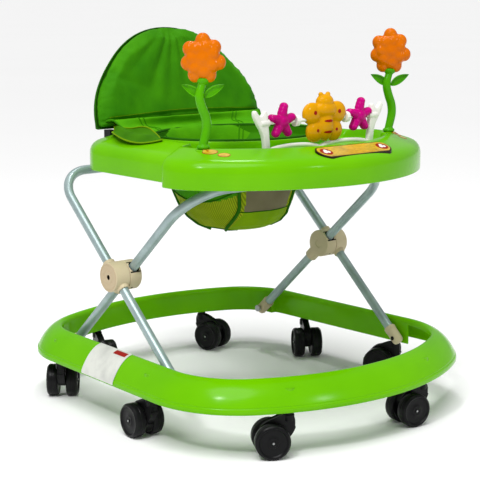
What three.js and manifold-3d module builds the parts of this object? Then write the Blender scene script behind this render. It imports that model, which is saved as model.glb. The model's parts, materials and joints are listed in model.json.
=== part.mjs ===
// Baby walker: a channel-section base ring on eight twin-wheel casters, a pair of
// crossed U tubes on two side hubs, and a tray with seat, backrest and toys.
// Millimetres, +Z up. The child faces -Y, so the child's left is +X.
import * as THREE from "three";
import { mergeVertices } from "three/addons/utils/BufferGeometryUtils.js";
import Module from "manifold-3d";

const wasm = await Module();
wasm.setup();

// ---- driving dimensions ----
const GAP = 0.35; // clearance between fixed neighbours
const TAU = Math.PI * 2;
const SIDES = [["right", -1], ["left", 1]];

// Base ring: outline of the ridge (the top inner edge) and the channel's section.
const RING = { endY: 308.5, frontArc: 394, frontCorner: 120, frontHalf: 262,
  rearArc: 470, rearCorner: 110, rearHalf: 250 };
const CHANNEL = 46.5; // channel width, ridge to lip
const RING_Z = 75; // bottom edge of the ring
const RING_TOP = 121.5;
const RING_STEPS = 4; // outline samples per arc
const RING_SECTION = [[0, 0], [0, 40], [7, 46.5], [20, 41], [35, 26], [45, 9.5], [46.5, 0],
  [43.3, 0], [42, 8.5], [33, 23.5], [19, 37.5], [7.5, 42.8], [3, 38.5], [3, 0]]; // [outward, up]

const SIDE_ENDS = [-149, 169.7]; // where the ring's straight side begins and ends
const STICKER = { front: -25, rear: 70, under: 0.5, over: 1.1 }; // extent and its two faces
const FOOT_TRACK = { x0: 236.5, x1: 263.5, y0: -262, y1: -148 };

// Casters: bearing of the stem round the ring and heading of the trail, in degrees.
const CASTERS = [[146.5, 50], [199.3, 85], [240.9, 148.5], [290.8, 170.5],
  [340.3, 120], [26.8, 237.5], [64.3, 284.5], [107, 250]];
const WHEEL_R = 28;
const WHEEL_IN = 7; // inner face of a wheel, from the caster's middle plane
const WHEEL_OUT = 27;
const TRAIL = 28;
const AXLE_R = 3.5;
const STEM_R = 4.5;
const STEM_W = 22; // how far out from the ridge the stems stand
const BOSS_R = 10;

// Crossed tube frame.
const TUBE_R = 8;
const HUB = { y: 38, z: 241, r: 25 };
const ARM_RUN = 170; // hub to foot, along Y
const ARM_RISE = 155; // foot to hub, along Z
const TOP_RISE = 157; // hub to crossbar, along Z
const TOP_RUN = TOP_RISE * ARM_RUN / ARM_RISE;
const X_REAR = 250; // plane of the rear frame's legs
const X_FRONT = 226; // plane of the front frame's legs
const REAR_BEND = 60;
const FRONT_BEND = 78;
const FOOT_Z = HUB.z - ARM_RISE;
const BAR_Z = HUB.z + TOP_RISE;
const SOCKET_R = TUBE_R + 0.65;

// Tray.
const TRAY = { frontY: -292, frontArc: 330, corner: 90, half: 268, armHalf: 232,
  armFront: -72, flareEnd: -112, chamferY: 130, rearHalf: 160, rearY: 222, bottom: 408 };
const TRAY_MIDDLE = [0, -20];
const TRAY_OUTSIDE = [[0, 0], [0, 33], [12, 46], [57, 59], [70, 44]]; // [inward, up]
const TRAY_INSIDE = [[3.5, -8], [3.5, 31], [14, 42.5], [54, 54], [66, 40.5]];
const BASIN_Z = TRAY.bottom + 44;
const PLATE = 3.5; // tray wall
const SEAT = { y: 15, a: 162, b: 130, wall: 5 };

// Backrest, seat and toys.
const BACK = { y: 180, z: 470, half: 186, height: 181, lean: 17, pad: 18, board: 5 };
// Levels of the pouch from its rim down: half width, half length, centre y, z.
const POUCH = [[150, 118, 15, 440], [124, 104, 24, 395], [100, 82, 20, 330], [76, 60, 16, 302]];
const POUCH_WALL = 6;
const LEG_HOLE = { x: 42, y: 14, r: 29 };
const BRACKET = [154, 168, 166, 184]; // x and y extents of the left bracket
const FLOWER = { x: 208, y: -143, headZ: 604, headR: 24, pegR: 8 };
const TOY = { y: -186, z: 504, postX: 115, barR: 3, barHalf: 129 };
const PANEL = { y: -262, z: 463.2, half: 62, r: 20, tilt: 16 };

// ---- helpers ----
const rad = THREE.MathUtils.degToRad;
const vec = (x, y, z) => new THREE.Vector3(x, y, z);

function solid(geometry) {
  const bare = geometry.clone();
  bare.deleteAttribute("normal");
  bare.deleteAttribute("uv");
  const merged = mergeVertices(bare, 1e-4);
  const mesh = new wasm.Mesh({ numProp: 3,
    vertProperties: new Float32Array(merged.attributes.position.array),
    triVerts: new Uint32Array(merged.index.array) });
  return new wasm.Manifold(mesh);
}

function geometryOf(body) {
  const mesh = body.getMesh();
  const geometry = new THREE.BufferGeometry();
  geometry.setAttribute("position", new THREE.BufferAttribute(mesh.vertProperties, 3));
  geometry.setIndex(new THREE.BufferAttribute(mesh.triVerts, 1));
  return geometry;
}

function box(x0, x1, y0, y1, z0, z1) {
  const g = new THREE.BoxGeometry(x1 - x0, y1 - y0, z1 - z0);
  return g.translate((x0 + x1) / 2, (y0 + y1) / 2, (z0 + z1) / 2);
}

// A cylinder or cone between two points.
function rod(from, to, r, r2 = r, sides = 12) {
  const along = to.clone().sub(from);
  const g = new THREE.CylinderGeometry(r2, r, along.length(), sides, 1);
  g.rotateX(Math.PI / 2);
  const turn = new THREE.Quaternion().setFromUnitVectors(vec(0, 0, 1), along.clone().normalize());
  g.applyQuaternion(turn);
  const middle = from.clone().add(to).multiplyScalar(0.5);
  return g.translate(middle.x, middle.y, middle.z);
}

function ellipsoid(x, y, z, a, b, c, wide = 8, high = 5) {
  return new THREE.SphereGeometry(1, wide, high).scale(a, b, c).translate(x, y, z);
}

// Joins loops of equal length into one skin. A ring of loops closes on itself;
// otherwise both ends are closed by fans to their centres.
function skin(loops, closed) {
  const n = loops[0].length;
  const points = loops.flat();
  const index = [];
  const spans = closed ? loops.length : loops.length - 1;
  for (let i = 0; i < spans; i++) {
    const a = i * n;
    const b = ((i + 1) % loops.length) * n;
    for (let k = 0; k < n; k++) {
      const k2 = (k + 1) % n;
      index.push(a + k, a + k2, b + k, a + k2, b + k2, b + k);
    }
  }
  if (!closed) {
    for (const [start, flip] of [[0, true], [(loops.length - 1) * n, false]]) {
      const centre = vec(0, 0, 0);
      for (let k = 0; k < n; k++) centre.add(points[start + k]);
      points.push(centre.multiplyScalar(1 / n));
      for (let k = 0; k < n; k++) {
        const pair = [start + k, start + (k + 1) % n];
        if (flip) pair.reverse();
        index.push(pair[0], pair[1], points.length - 1);
      }
    }
  }
  let volume = 0;
  for (let i = 0; i < index.length; i += 3) {
    volume += points[index[i]].dot(points[index[i + 1]].clone().cross(points[index[i + 2]]));
  }
  if (volume < 0) index.reverse();
  const geometry = new THREE.BufferGeometry().setFromPoints(points);
  geometry.setIndex(index);
  return geometry;
}

// A route given by its points, sampled at exactly those points.
class Route extends THREE.Curve {
  constructor(points) {
    super();
    this.points = points;
  }

  getPoint(t) {
    const at = Math.min(Math.max(t, 0), 1) * (this.points.length - 1);
    const i = Math.min(Math.floor(at), this.points.length - 2);
    return this.points[i].clone().lerp(this.points[i + 1], at - i);
  }

  getUtoTmapping(u) {
    return u;
  }
}

function tube(points, r, sides = 12) {
  const shape = new THREE.Shape();
  shape.absarc(0, 0, r, 0, TAU);
  return new THREE.ExtrudeGeometry(shape, { curveSegments: sides / 2, steps: points.length - 1,
    extrudePath: new Route(points) });
}

// Points round a corner of a route, as an arc of the given radius.
function bend(before, corner, after, radius, steps) {
  const a = before.clone().sub(corner).normalize();
  const b = after.clone().sub(corner).normalize();
  const half = a.angleTo(b) / 2;
  const centre = a.clone().add(b).normalize().multiplyScalar(radius / Math.sin(half)).add(corner);
  const start = a.clone().multiplyScalar(radius / Math.tan(half)).add(corner).sub(centre);
  const end = b.clone().multiplyScalar(radius / Math.tan(half)).add(corner).sub(centre);
  const axis = start.clone().cross(end).normalize();
  const sweep = start.angleTo(end);
  const points = [];
  for (let i = 0; i <= steps; i++) {
    points.push(start.clone().applyAxisAngle(axis, sweep * i / steps).add(centre));
  }
  return points;
}

function union(list) {
  return list.map(solid).reduce((whole, next) => whole.add(next));
}

const group = new THREE.Group();
function put(name, geometry, colour) {
  const mesh = new THREE.Mesh(geometry, new THREE.MeshStandardMaterial({ color: colour }));
  mesh.name = name;
  group.add(mesh);
}

// Half of an outline with a front arc, two corners and a rear arc, then mirrored.
function roundedOutline(dim, out, steps) {
  const front = vec(0, -dim.endY + dim.frontArc, 0);
  const rear = vec(0, dim.endY - dim.rearArc, 0);
  const cx1 = dim.frontHalf - dim.frontCorner;
  const cx2 = dim.rearHalf - dim.rearCorner;
  const cy1 = front.y - Math.sqrt((dim.frontArc - dim.frontCorner) ** 2 - cx1 ** 2);
  const cy2 = rear.y + Math.sqrt((dim.rearArc - dim.rearCorner) ** 2 - cx2 ** 2);
  const turn1 = Math.atan2(cx1, front.y - cy1);
  const turn2 = Math.atan2(cx2, cy2 - rear.y);
  const half = [];
  const arc = (x, y, r, from, to) => {
    for (let i = 0; i < steps; i++) {
      const t = from + (to - from) * i / steps;
      half.push([x + (r + out) * Math.sin(t), y - (r + out) * Math.cos(t)]);
    }
  };
  arc(0, front.y, dim.frontArc, 0, turn1);
  arc(cx1, cy1, dim.frontCorner, turn1, Math.PI / 2);
  for (let i = 0; i < steps; i++) {
    const t = i / steps;
    half.push([(dim.frontHalf + out) * (1 - t) + (dim.rearHalf + out) * t, cy1 * (1 - t) + cy2 * t]);
  }
  arc(cx2, cy2, dim.rearCorner, Math.PI / 2, Math.PI - turn2);
  arc(0, rear.y, dim.rearArc, Math.PI - turn2, Math.PI);
  const other = half.slice(1).reverse().map(([x, y]) => [-x, y]);
  return [...half, [0, dim.endY + out], ...other];
}

// ---- base ring ----
function ringPoint(bearing, out) {
  const loop = roundedOutline(RING, out, 24);
  const dir = [Math.cos(rad(bearing)), Math.sin(rad(bearing))];
  for (let i = 0; i < loop.length; i++) {
    const p = loop[i];
    const q = loop[(i + 1) % loop.length];
    const sideP = dir[0] * p[1] - dir[1] * p[0];
    const sideQ = dir[0] * q[1] - dir[1] * q[0];
    if (sideP <= 0 && sideQ > 0 && p[0] * dir[0] + p[1] * dir[1] > 0) {
      const t = sideP / (sideP - sideQ);
      return [p[0] + (q[0] - p[0]) * t, p[1] + (q[1] - p[1]) * t];
    }
  }
  return loop[0];
}

const STEMS = CASTERS.map(([bearing]) => ringPoint(bearing, STEM_W));
const REAR_FOOT_Y = HUB.y + ARM_RUN;
const FRONT_FOOT_Y = HUB.y - ARM_RUN;
const PIN_R = 4;
const PAD_X = 237.4; // inner face of the pivot pads

function ringSkin(section) {
  return solid(skin(section.map(([out, up]) => roundedOutline(RING, out, RING_STEPS)
    .map(([x, y]) => vec(x, y, RING_Z + up))), true));
}

function baseRing() {
  let ring = ringSkin(RING_SECTION);
  const filled = ringSkin(RING_SECTION.slice(0, 7));
  const innerWall = ringSkin([[-30, -5], [-30, 37.5], [5, 37.5], [5, -5]]);
  const stemTop = RING_TOP - 17;
  for (const [x, y] of STEMS) {
    const boss = solid(rod(vec(x, y, RING_Z + 1.5), vec(x, y, RING_TOP - 8), BOSS_R, BOSS_R, 8));
    ring = ring.add(boss.intersect(filled));
    ring = ring.subtract(solid(rod(vec(x, y, RING_Z - 5), vec(x, y, stemTop), STEM_R + 1, STEM_R + 1, 8)));
  }
  for (const [, s] of SIDES) {
    const xs = [s * PAD_X, s * (PAD_X + 12)].sort((a, b) => a - b);
    ring = ring.add(solid(box(xs[0], xs[1], REAR_FOOT_Y - 13, REAR_FOOT_Y + 13,
      RING_Z, FOOT_Z + 14)));
    ring = ring.subtract(solid(rod(vec(s * 230, REAR_FOOT_Y, FOOT_Z),
      vec(s * (PAD_X + 6), REAR_FOOT_Y, FOOT_Z), PIN_R + GAP)));
    // The track the front foot slides forward in, open to the inside and below.
    const track = [s * FOOT_TRACK.x0, s * FOOT_TRACK.x1].sort((a, b) => a - b);
    ring = ring.subtract(solid(box(track[0], track[1], FOOT_TRACK.y0, FOOT_TRACK.y1, RING_Z - 15,
      RING_TOP + 8)).intersect(innerWall));
  }
  return geometryOf(ring);
}

put("base_ring", baseRing(), 0x78d60a);

// Blank sticker that wraps over the ring's right side.
function sticker() {
  const sideX = (y) => THREE.MathUtils.mapLinear(y, ...SIDE_ENDS, RING.frontHalf, RING.rearHalf);
  const corner = (y, out, up, off) => vec(-(sideX(y) + out + off), y, RING_Z + up + off);
  const { front, rear, under, over } = STICKER;
  const loops = RING_SECTION.slice(2, 7).map(([out, up]) => [corner(front, out, up, under),
    corner(rear, out, up, under), corner(rear, out, up, over), corner(front, out, up, over)]);
  return skin(loops, false);
}

put("label_sticker", sticker(), 0xf0f0ec);

for (const [side, s] of SIDES) {
  const shank = rod(vec(s * 213, REAR_FOOT_Y, FOOT_Z), vec(s * 242, REAR_FOOT_Y, FOOT_Z), PIN_R);
  const head = rod(vec(s * 210, REAR_FOOT_Y, FOOT_Z), vec(s * 214, REAR_FOOT_Y, FOOT_Z), 6.5);
  put(`rear_pivot_pin_${side}`, geometryOf(union([shank, head])), 0xb8b8b4);
}

// ---- casters ----
// Local frame: stem on Z at the origin, trail along +X, axle along Y.
function casterHousing() {
  const web = new THREE.Shape();
  web.moveTo(-7, 66);
  web.lineTo(-7, 40);
  web.lineTo(16, 20);
  web.absarc(TRAIL, WHEEL_R, 9, -2.2, 0, false);
  web.lineTo(45, 44);
  web.lineTo(38, 53);
  web.lineTo(24, 59);
  web.lineTo(7, 66);
  const half = WHEEL_IN - 0.8;
  const plate = new THREE.ExtrudeGeometry(web, { depth: half * 2, bevelEnabled: false,
    curveSegments: 3 }).rotateX(Math.PI / 2).translate(0, half, 0);
  const parts = [plate, rod(vec(0, 0, 58.5), vec(0, 0, 73), 8.5, 7.5),
    rod(vec(0, 0, 70), vec(0, 0, RING_TOP - 19), STEM_R)];
  return union(parts).subtract(solid(rod(vec(TRAIL, -20, WHEEL_R), vec(TRAIL, 20, WHEEL_R),
    AXLE_R + 0.5)));
}

function casterWheels() {
  const face = [[0, 24.5], [20, 24.5], [23, WHEEL_OUT], [WHEEL_R, 24], [WHEEL_R, 10],
    [25, WHEEL_IN], [AXLE_R, WHEEL_IN]];
  const profile = [...face.map(([r, a]) => [r, -a]), ...[...face].reverse()];
  const points = profile.map(([r, a]) => new THREE.Vector2(r, a));
  return solid(new THREE.LatheGeometry(points, 14).translate(TRAIL, 0, WHEEL_R));
}

CASTERS.forEach(([, heading], i) => {
  const [x, y] = STEMS[i];
  const place = (body) => geometryOf(body).rotateZ(rad(heading)).translate(x, y, 0);
  put(`caster_housing_${i + 1}`, place(casterHousing()), 0x161616);
  put(`caster_wheels_${i + 1}`, place(casterWheels()), 0x1c1c1c);
});

// ---- crossed tube frame ----
// Unit direction along the legs: rear frame climbs towards +Y, front frame towards -Y.
const legDir = (climb) => vec(0, climb * ARM_RUN, ARM_RISE).normalize();
const rearDir = legDir(1);
const frontDir = legDir(-1);
const hubAt = (x) => vec(x, HUB.y, HUB.z);
const along = (x, dir, t) => dir.clone().multiplyScalar(t).add(hubAt(x));
const LEG = Math.hypot(ARM_RUN, ARM_RISE);
const TOP = Math.hypot(TOP_RUN, TOP_RISE);
const FOOT_TUBE = 7.5; // how far the tube stops short of the foot's pin

function uTube(x, dir, start, radius) {
  const cornerA = along(-x, dir, TOP);
  const cornerB = along(x, dir, TOP);
  const points = [along(-x, dir, start), ...bend(along(-x, dir, 0), cornerA, cornerB, radius, 6),
    ...bend(cornerA, cornerB, along(x, dir, 0), radius, 6), along(x, dir, start)];
  return geometryOf(solid(tube(points, TUBE_R)));
}

put("rear_frame_tube", uTube(X_REAR, rearDir, -LEG + FOOT_TUBE, REAR_BEND), 0xb4c6c4);
put("front_frame_tube", uTube(X_FRONT, frontDir, 7, FRONT_BEND), 0xb4c6c4);

function foot(x, dir) {
  const cap = solid(rod(along(x, dir, -LEG - 11), along(x, dir, -LEG + 24), 10.2, 10.6));
  const bore = solid(rod(along(x, dir, -LEG + FOOT_TUBE - 0.4), along(x, dir, -LEG + 30), SOCKET_R));
  const at = along(x, dir, -LEG);
  const pin = solid(rod(vec(at.x - 20, at.y, at.z), vec(at.x + 20, at.y, at.z), PIN_R + 0.5));
  return geometryOf(cap.subtract(bore).subtract(pin));
}

function hubOuter(s) {
  let hub = solid(rod(hubAt(s * 238.3), hubAt(s * 266), HUB.r, HUB.r, 20));
  hub = hub.subtract(solid(rod(hubAt(s * 230), hubAt(s * 241), 11)));
  hub = hub.subtract(solid(rod(hubAt(s * 263), hubAt(s * 270), 3.5)));
  return geometryOf(hub.subtract(solid(rod(along(s * X_REAR, rearDir, -40),
    along(s * X_REAR, rearDir, 40), SOCKET_R))));
}

function hubInner(s) {
  const at = s * X_FRONT;
  let hub = solid(rod(hubAt(s * 214), hubAt(s * 237.7), HUB.r, HUB.r, 20));
  hub = hub.add(solid(rod(hubAt(s * 236), hubAt(s * 240.5), 10)));
  hub = hub.add(solid(rod(along(at, frontDir, -44), along(at, frontDir, 0), 11.6)));
  hub = hub.subtract(solid(rod(along(at, frontDir, -50), along(at, frontDir, -7.5), SOCKET_R)));
  return geometryOf(hub.subtract(solid(rod(along(at, frontDir, 6.5),
    along(at, frontDir, 40), SOCKET_R + 1.5))));
}

for (const [side, s] of SIDES) {
  const leg = rod(along(s * X_FRONT, frontDir, -LEG + FOOT_TUBE),
    along(s * X_FRONT, frontDir, -8), TUBE_R);
  put(`rear_leg_${side}`, leg, 0xb4c6c4);
  put(`hub_outer_${side}`, hubOuter(s), 0xd8c8a0);
  put(`hub_inner_${side}`, hubInner(s), 0xd8c8a0);
  put(`front_foot_${side}`, foot(s * X_REAR, rearDir), 0xd8c8a0);
  put(`rear_foot_${side}`, foot(s * X_FRONT, frontDir), 0xd8c8a0);
}

// ---- tray ----
function trayOutline() {
  const front = TRAY.frontY + TRAY.frontArc;
  const cx = TRAY.half - TRAY.corner;
  const cy = front - Math.sqrt((TRAY.frontArc - TRAY.corner) ** 2 - cx ** 2);
  const turn = Math.atan2(cx, front - cy);
  const half = [];
  for (let i = 0; i < 4; i++) {
    const t = turn * i / 4;
    half.push([TRAY.frontArc * Math.sin(t), front - TRAY.frontArc * Math.cos(t)]);
  }
  for (let i = 0; i <= 4; i++) {
    const t = turn + (Math.PI / 2 - turn) * i / 4;
    half.push([cx + TRAY.corner * Math.sin(t), cy - TRAY.corner * Math.cos(t)]);
  }
  for (let i = 1; i <= 4; i++) {
    const t = i / 4;
    const ease = (1 - Math.cos(Math.PI * t)) / 2;
    half.push([TRAY.half + (TRAY.armHalf - TRAY.half) * ease,
      TRAY.flareEnd + 8 + (TRAY.armFront - TRAY.flareEnd) * t]);
  }
  half.push([TRAY.armHalf, (TRAY.armFront + TRAY.chamferY) / 2]);
  half.push([TRAY.armHalf, TRAY.chamferY - 12]);
  half.push([TRAY.armHalf - 4, TRAY.chamferY + 4]);
  half.push([(TRAY.armHalf + TRAY.rearHalf) / 2 + 4, (TRAY.chamferY + TRAY.rearY) / 2 + 4]);
  half.push([TRAY.rearHalf + 12, TRAY.rearY - 18]);
  half.push([TRAY.rearHalf - 4, TRAY.rearY - 5]);
  half.push([TRAY.rearHalf - 30, TRAY.rearY]);
  half.push([TRAY.rearHalf / 3, TRAY.rearY]);
  const other = half.slice(1).reverse().map(([x, y]) => [-x, y]);
  return [...half, ...other];
}

// The outline drawn in towards the middle by a distance, at a height above the skirt's edge.
function trayLoop([inset, up]) {
  return trayOutline().map(([x, y]) => {
    const away = Math.hypot(x - TRAY_MIDDLE[0], y - TRAY_MIDDLE[1]);
    const k = 1 - inset / away;
    return vec(TRAY_MIDDLE[0] + (x - TRAY_MIDDLE[0]) * k, TRAY_MIDDLE[1] + (y - TRAY_MIDDLE[1]) * k,
      TRAY.bottom + up);
  });
}

function oval(a, b, z0, z1, y = SEAT.y, sides = 20) {
  return new THREE.CylinderGeometry(1, 1, z1 - z0, sides, 1).rotateX(Math.PI / 2)
    .scale(a, b, 1).translate(0, y, (z0 + z1) / 2);
}

const COLLAR_TOP = TRAY.bottom + 58;
function tray() {
  let shell = solid(skin(TRAY_OUTSIDE.map(trayLoop), false));
  shell = shell.subtract(solid(skin(TRAY_INSIDE.map(trayLoop), false)));
  const collar = solid(oval(SEAT.a + SEAT.wall, SEAT.b + SEAT.wall, TRAY.bottom + 22, COLLAR_TOP));
  shell = shell.add(collar).subtract(solid(oval(SEAT.a, SEAT.b, 380, 500)));
  for (const [, s] of SIDES) {
    const at = (z) => vec(s * FLOWER.x, FLOWER.y, z);
    shell = shell.add(solid(rod(at(TRAY.bottom + 30), at(TRAY.bottom + 57.5), 14)));
    shell = shell.subtract(solid(rod(at(400), at(480), FLOWER.pegR + 0.6)));
    const xs = [s * (BRACKET[0] - GAP), s * (BRACKET[1] + GAP)].sort((a, b) => a - b);
    shell = shell.subtract(solid(box(xs[0], xs[1], BRACKET[2] - GAP, BRACKET[3] + GAP, 440, 480)));
  }
  return geometryOf(shell);
}

put("tray", tray(), 0x78d60a);

const BAR_REAR_Y = HUB.y + TOP_RUN;
const BAR_FRONT_Y = HUB.y - TOP_RUN;
for (const [side, s] of SIDES) {
  const xs = [s * 92, s * 110].sort((a, b) => a - b);
  const clip = solid(box(xs[0], xs[1], BAR_REAR_Y - 16, BAR_REAR_Y + 2, BAR_Z - 11.5, BASIN_Z - 9));
  const bore = solid(rod(vec(s * 85, BAR_REAR_Y, BAR_Z), vec(s * 120, BAR_REAR_Y, BAR_Z), SOCKET_R));
  put(`tray_clip_${side}`, geometryOf(clip.subtract(bore)), 0x6cc40a);
  // Flat rib the front crossbar bears on and slides along.
  const pad = box(xs[0], xs[1], -256, -122, BAR_Z + TUBE_R + 0.3, BASIN_Z - PLATE - GAP);
  put(`slide_rib_${side}`, pad, 0x6cc40a);
}

// ---- seat and backrest ----
// The seat is a fabric bucket with two leg holes in its floor.
function seatPouch() {
  const level = (k) => (n) => Array.from({ length: n }, (_, i) => {
    const t = TAU * i / n;
    return vec(k[0] * Math.cos(t), k[2] + k[1] * Math.sin(t), k[3]);
  });
  const shrink = ([a, b, y, z], i) => [a - POUCH_WALL, b - POUCH_WALL, y, i ? z + POUCH_WALL : z + 20];
  const outer = solid(skin(POUCH.map((w) => level(w)(20)).reverse(), false));
  const inner = solid(skin(POUCH.map((w, i) => level(shrink(w, i))(20)).reverse(), false));
  const rim = solid(oval(SEAT.a - 0.6, SEAT.b - 0.6, 432, COLLAR_TOP + 1, SEAT.y, 20));
  const mouth = solid(oval(SEAT.a - 7, SEAT.b - 7, 431, 480, SEAT.y, 20));
  const bridge = solid(oval(SEAT.a - 0.6, SEAT.b - 0.6, 431, 437, SEAT.y, 20))
    .subtract(solid(oval(142, 110, 430, 440, SEAT.y, 20)));
  let bag = outer.subtract(inner).add(rim.subtract(mouth)).add(bridge);
  for (const [, s] of SIDES) {
    bag = bag.subtract(solid(rod(vec(s * LEG_HOLE.x, LEG_HOLE.y, 290), vec(s * LEG_HOLE.x, LEG_HOLE.y, 340),
      LEG_HOLE.r, LEG_HOLE.r, 16)));
  }
  return geometryOf(bag);
}

put("seat_pouch", seatPouch(), 0x6fae10);

function backOutline(half, height) {
  const shape = new THREE.Shape();
  shape.moveTo(-half, 0);
  shape.lineTo(half, 0);
  shape.bezierCurveTo(half * 1.01, height * 0.25, half * 0.925, height * 0.44, half * 0.72, height * 0.66);
  shape.bezierCurveTo(half * 0.6, height * 0.79, half * 0.38, height, 0, height);
  shape.bezierCurveTo(-half * 0.38, height, -half * 0.6, height * 0.79, -half * 0.72, height * 0.66);
  shape.bezierCurveTo(-half * 0.925, height * 0.44, -half * 1.01, height * 0.25, -half, 0);
  return shape;
}

// A leaning plate between two depths in front of (-) or behind (+) the backrest's plane.
function backPlate(half, height, from, to, lift) {
  const g = new THREE.ExtrudeGeometry(backOutline(half, height), { depth: to - from,
    bevelEnabled: false, curveSegments: 8 });
  g.rotateX(Math.PI / 2).translate(0, to, lift);
  return g.rotateX(-rad(BACK.lean)).translate(0, BACK.y, BACK.z);
}

const cushion = backPlate(BACK.half, BACK.height, -BACK.pad, 0, 0);
const board = backPlate(BACK.half - 5, BACK.height - 5, 0.5, BACK.board, 2);
put("backrest_cushion", geometryOf(solid(cushion)), 0x6fae10);
put("backrest_board", geometryOf(solid(board)), 0x5c9c0c);
for (const [side, s] of SIDES) {
  const [near, far, y0, y1] = BRACKET;
  const bracket = box(near, far, y0, y1, BASIN_Z - 8, BACK.z - 0.9);
  if (side === "right") bracket.translate(-near - far, 0, 0);
  put(`backrest_bracket_${side}`, bracket, 0x181818);
}

// ---- toys ----
function flowerStem(s) {
  const at = (dx, z) => vec(s * FLOWER.x + dx, FLOWER.y, z);
  const route = [at(0, 462), at(0, 474), at(4, 486), at(7, 500), at(5, 515), at(-2, 530),
    at(-7, 545), at(-6, 556), at(-2, 566), at(0, 572)];
  const leaf = (dx) => ellipsoid(s * FLOWER.x + dx, FLOWER.y, 554, 15, 5, 7);
  return geometryOf(union([tube(route, 6.5, 10), rod(at(0, 440), at(0, 470), FLOWER.pegR),
    rod(at(0, 468), at(0, 472), 13), rod(at(0, 568), at(0, 577), 11), leaf(-17), leaf(12)]));
}

// Seven puffy petals round a raised middle, facing along a level direction.
function flowerHead(s) {
  const lobes = [ellipsoid(0, 0, 0, 20, 12, 20)];
  for (let i = 0; i < 7; i++) {
    const t = TAU * i / 7;
    lobes.push(ellipsoid(FLOWER.headR * Math.sin(t), 0, FLOWER.headR * Math.cos(t), 12.5, 11, 12.5));
  }
  const head = geometryOf(union(lobes));
  const stemCut = solid(rod(vec(0, 0, -42), vec(0, 0, -26.4), 12));
  return geometryOf(solid(head).subtract(stemCut)).rotateZ(rad(-40))
    .translate(s * FLOWER.x, FLOWER.y, FLOWER.headZ);
}

for (const [side, s] of SIDES) {
  put(`flower_stem_${side}`, flowerStem(s), 0x6cc40a);
  put(`flower_head_${side}`, flowerHead(s), 0xf08200);
}

// White arch: two forked posts that hold the bar, joined at the foot by two humps.
function toyFrame() {
  const parts = [];
  const at = (x, z) => vec(x, TOY.y, z);
  const foot = BASIN_Z + GAP;
  for (const [, s] of SIDES) {
    const p = s * TOY.postX;
    parts.push(tube([at(p, foot), at(p + s * 3, foot + 24), at(p + s * 9, TOY.z - 8),
      at(p + s * 19, TOY.z + 18)], 5, 8));
    parts.push(tube([at(p + s * 8, TOY.z - 14), at(p + s * 8, TOY.z), at(p + s * 7, TOY.z + 17)], 4, 6));
    parts.push(rod(at(p + s * 17, TOY.z), at(p + s * 4, TOY.z), 6.5));
    const hump = [];
    for (let i = 0; i <= 6; i++) {
      const t = Math.PI * i / 6;
      hump.push(at(s * TOY.postX / 2 * (1 - Math.cos(t)), foot + 4.5 + 9 * Math.sin(t)));
    }
    parts.push(tube(hump, 4, 6));
  }
  const bore = rod(at(-TOY.barHalf - 1, TOY.z), at(TOY.barHalf + 1, TOY.z), TOY.barR + GAP);
  const whole = union(parts).subtract(solid(bore));
  return geometryOf(whole.subtract(solid(box(-200, 200, TOY.y - 20, TOY.y + 20, 400, foot))));
}

put("toy_frame", toyFrame(), 0xf4f4f0);
const barEnd = (s) => vec(s * TOY.barHalf, TOY.y, TOY.z);
put("toy_bar", rod(barEnd(-1), barEnd(1), TOY.barR), 0xf0f0ee);

// A toy built of puffy lobes on the bar, [x, z, radius x, radius z] from its middle.
function barToy(x, lobes, depth) {
  const parts = lobes.map(([dx, dz, a, c]) => ellipsoid(x + dx, TOY.y, TOY.z + dz, a, depth, c));
  const bore = rod(vec(x - 60, TOY.y, TOY.z), vec(x + 60, TOY.y, TOY.z), TOY.barR + 0.6, TOY.barR + 0.6, 12);
  return geometryOf(union(parts).subtract(solid(bore)));
}

const STAR_LOBES = [[0, 0, 15, 14]];
for (let i = 0; i < 5; i++) {
  const t = TAU * i / 5;
  STAR_LOBES.push([18 * Math.sin(t), 18 * Math.cos(t), 9.4, 9.4]);
}
const FLY_LOBES = [[0, 2, 20, 36], [-24, 12, 21, 17], [24, 12, 21, 17], [-19, -15, 18, 17.5],
  [19, -15, 18, 17.5], [0, 26, 14, 13], [-8, 38, 4.5, 6], [8, 38, 4.5, 6]];
put("star_toy_right", barToy(-83, STAR_LOBES, 11), 0xc80082);
put("star_toy_left", barToy(90, STAR_LOBES, 11), 0xc80082);
put("butterfly_toy", barToy(10, FLY_LOBES, 15), 0xf0b414);
for (const [side, x] of [["right", -52], ["left", 59.2]]) {
  const outer = solid(rod(vec(x - 3.5, TOY.y, TOY.z), vec(x + 3.5, TOY.y, TOY.z), 9));
  put(`spacer_ring_${side}`, geometryOf(outer.subtract(solid(rod(vec(x - 9, TOY.y, TOY.z),
    vec(x + 9, TOY.y, TOY.z), TOY.barR + GAP)))), 0xf4f4f0);
}

// Long rounded plates that lie on the sloping front rim.
function panelPlate(half, r, z0, z1) {
  const shape = new THREE.Shape();
  shape.absarc(half, 0, r, -Math.PI / 2, Math.PI / 2, false);
  shape.absarc(-half, 0, r, Math.PI / 2, Math.PI * 1.5, false);
  const g = new THREE.ExtrudeGeometry(shape, { depth: z1 - z0, bevelEnabled: false, curveSegments: 8 });
  return g.translate(0, 0, z0).rotateX(rad(PANEL.tilt)).translate(0, PANEL.y, PANEL.z);
}

put("play_panel", geometryOf(solid(panelPlate(PANEL.half, PANEL.r, 0, 2.2))), 0x20180c);
put("panel_face", geometryOf(solid(panelPlate(PANEL.half, PANEL.r - 3, 2.5, 3.7))), 0xd8a828);

export default group;
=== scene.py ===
# Looks for the baby walker: detailed pieces, materials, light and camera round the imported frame.
import json
import math

import bmesh
import bpy
from mathutils import Matrix, Vector, noise


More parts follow.
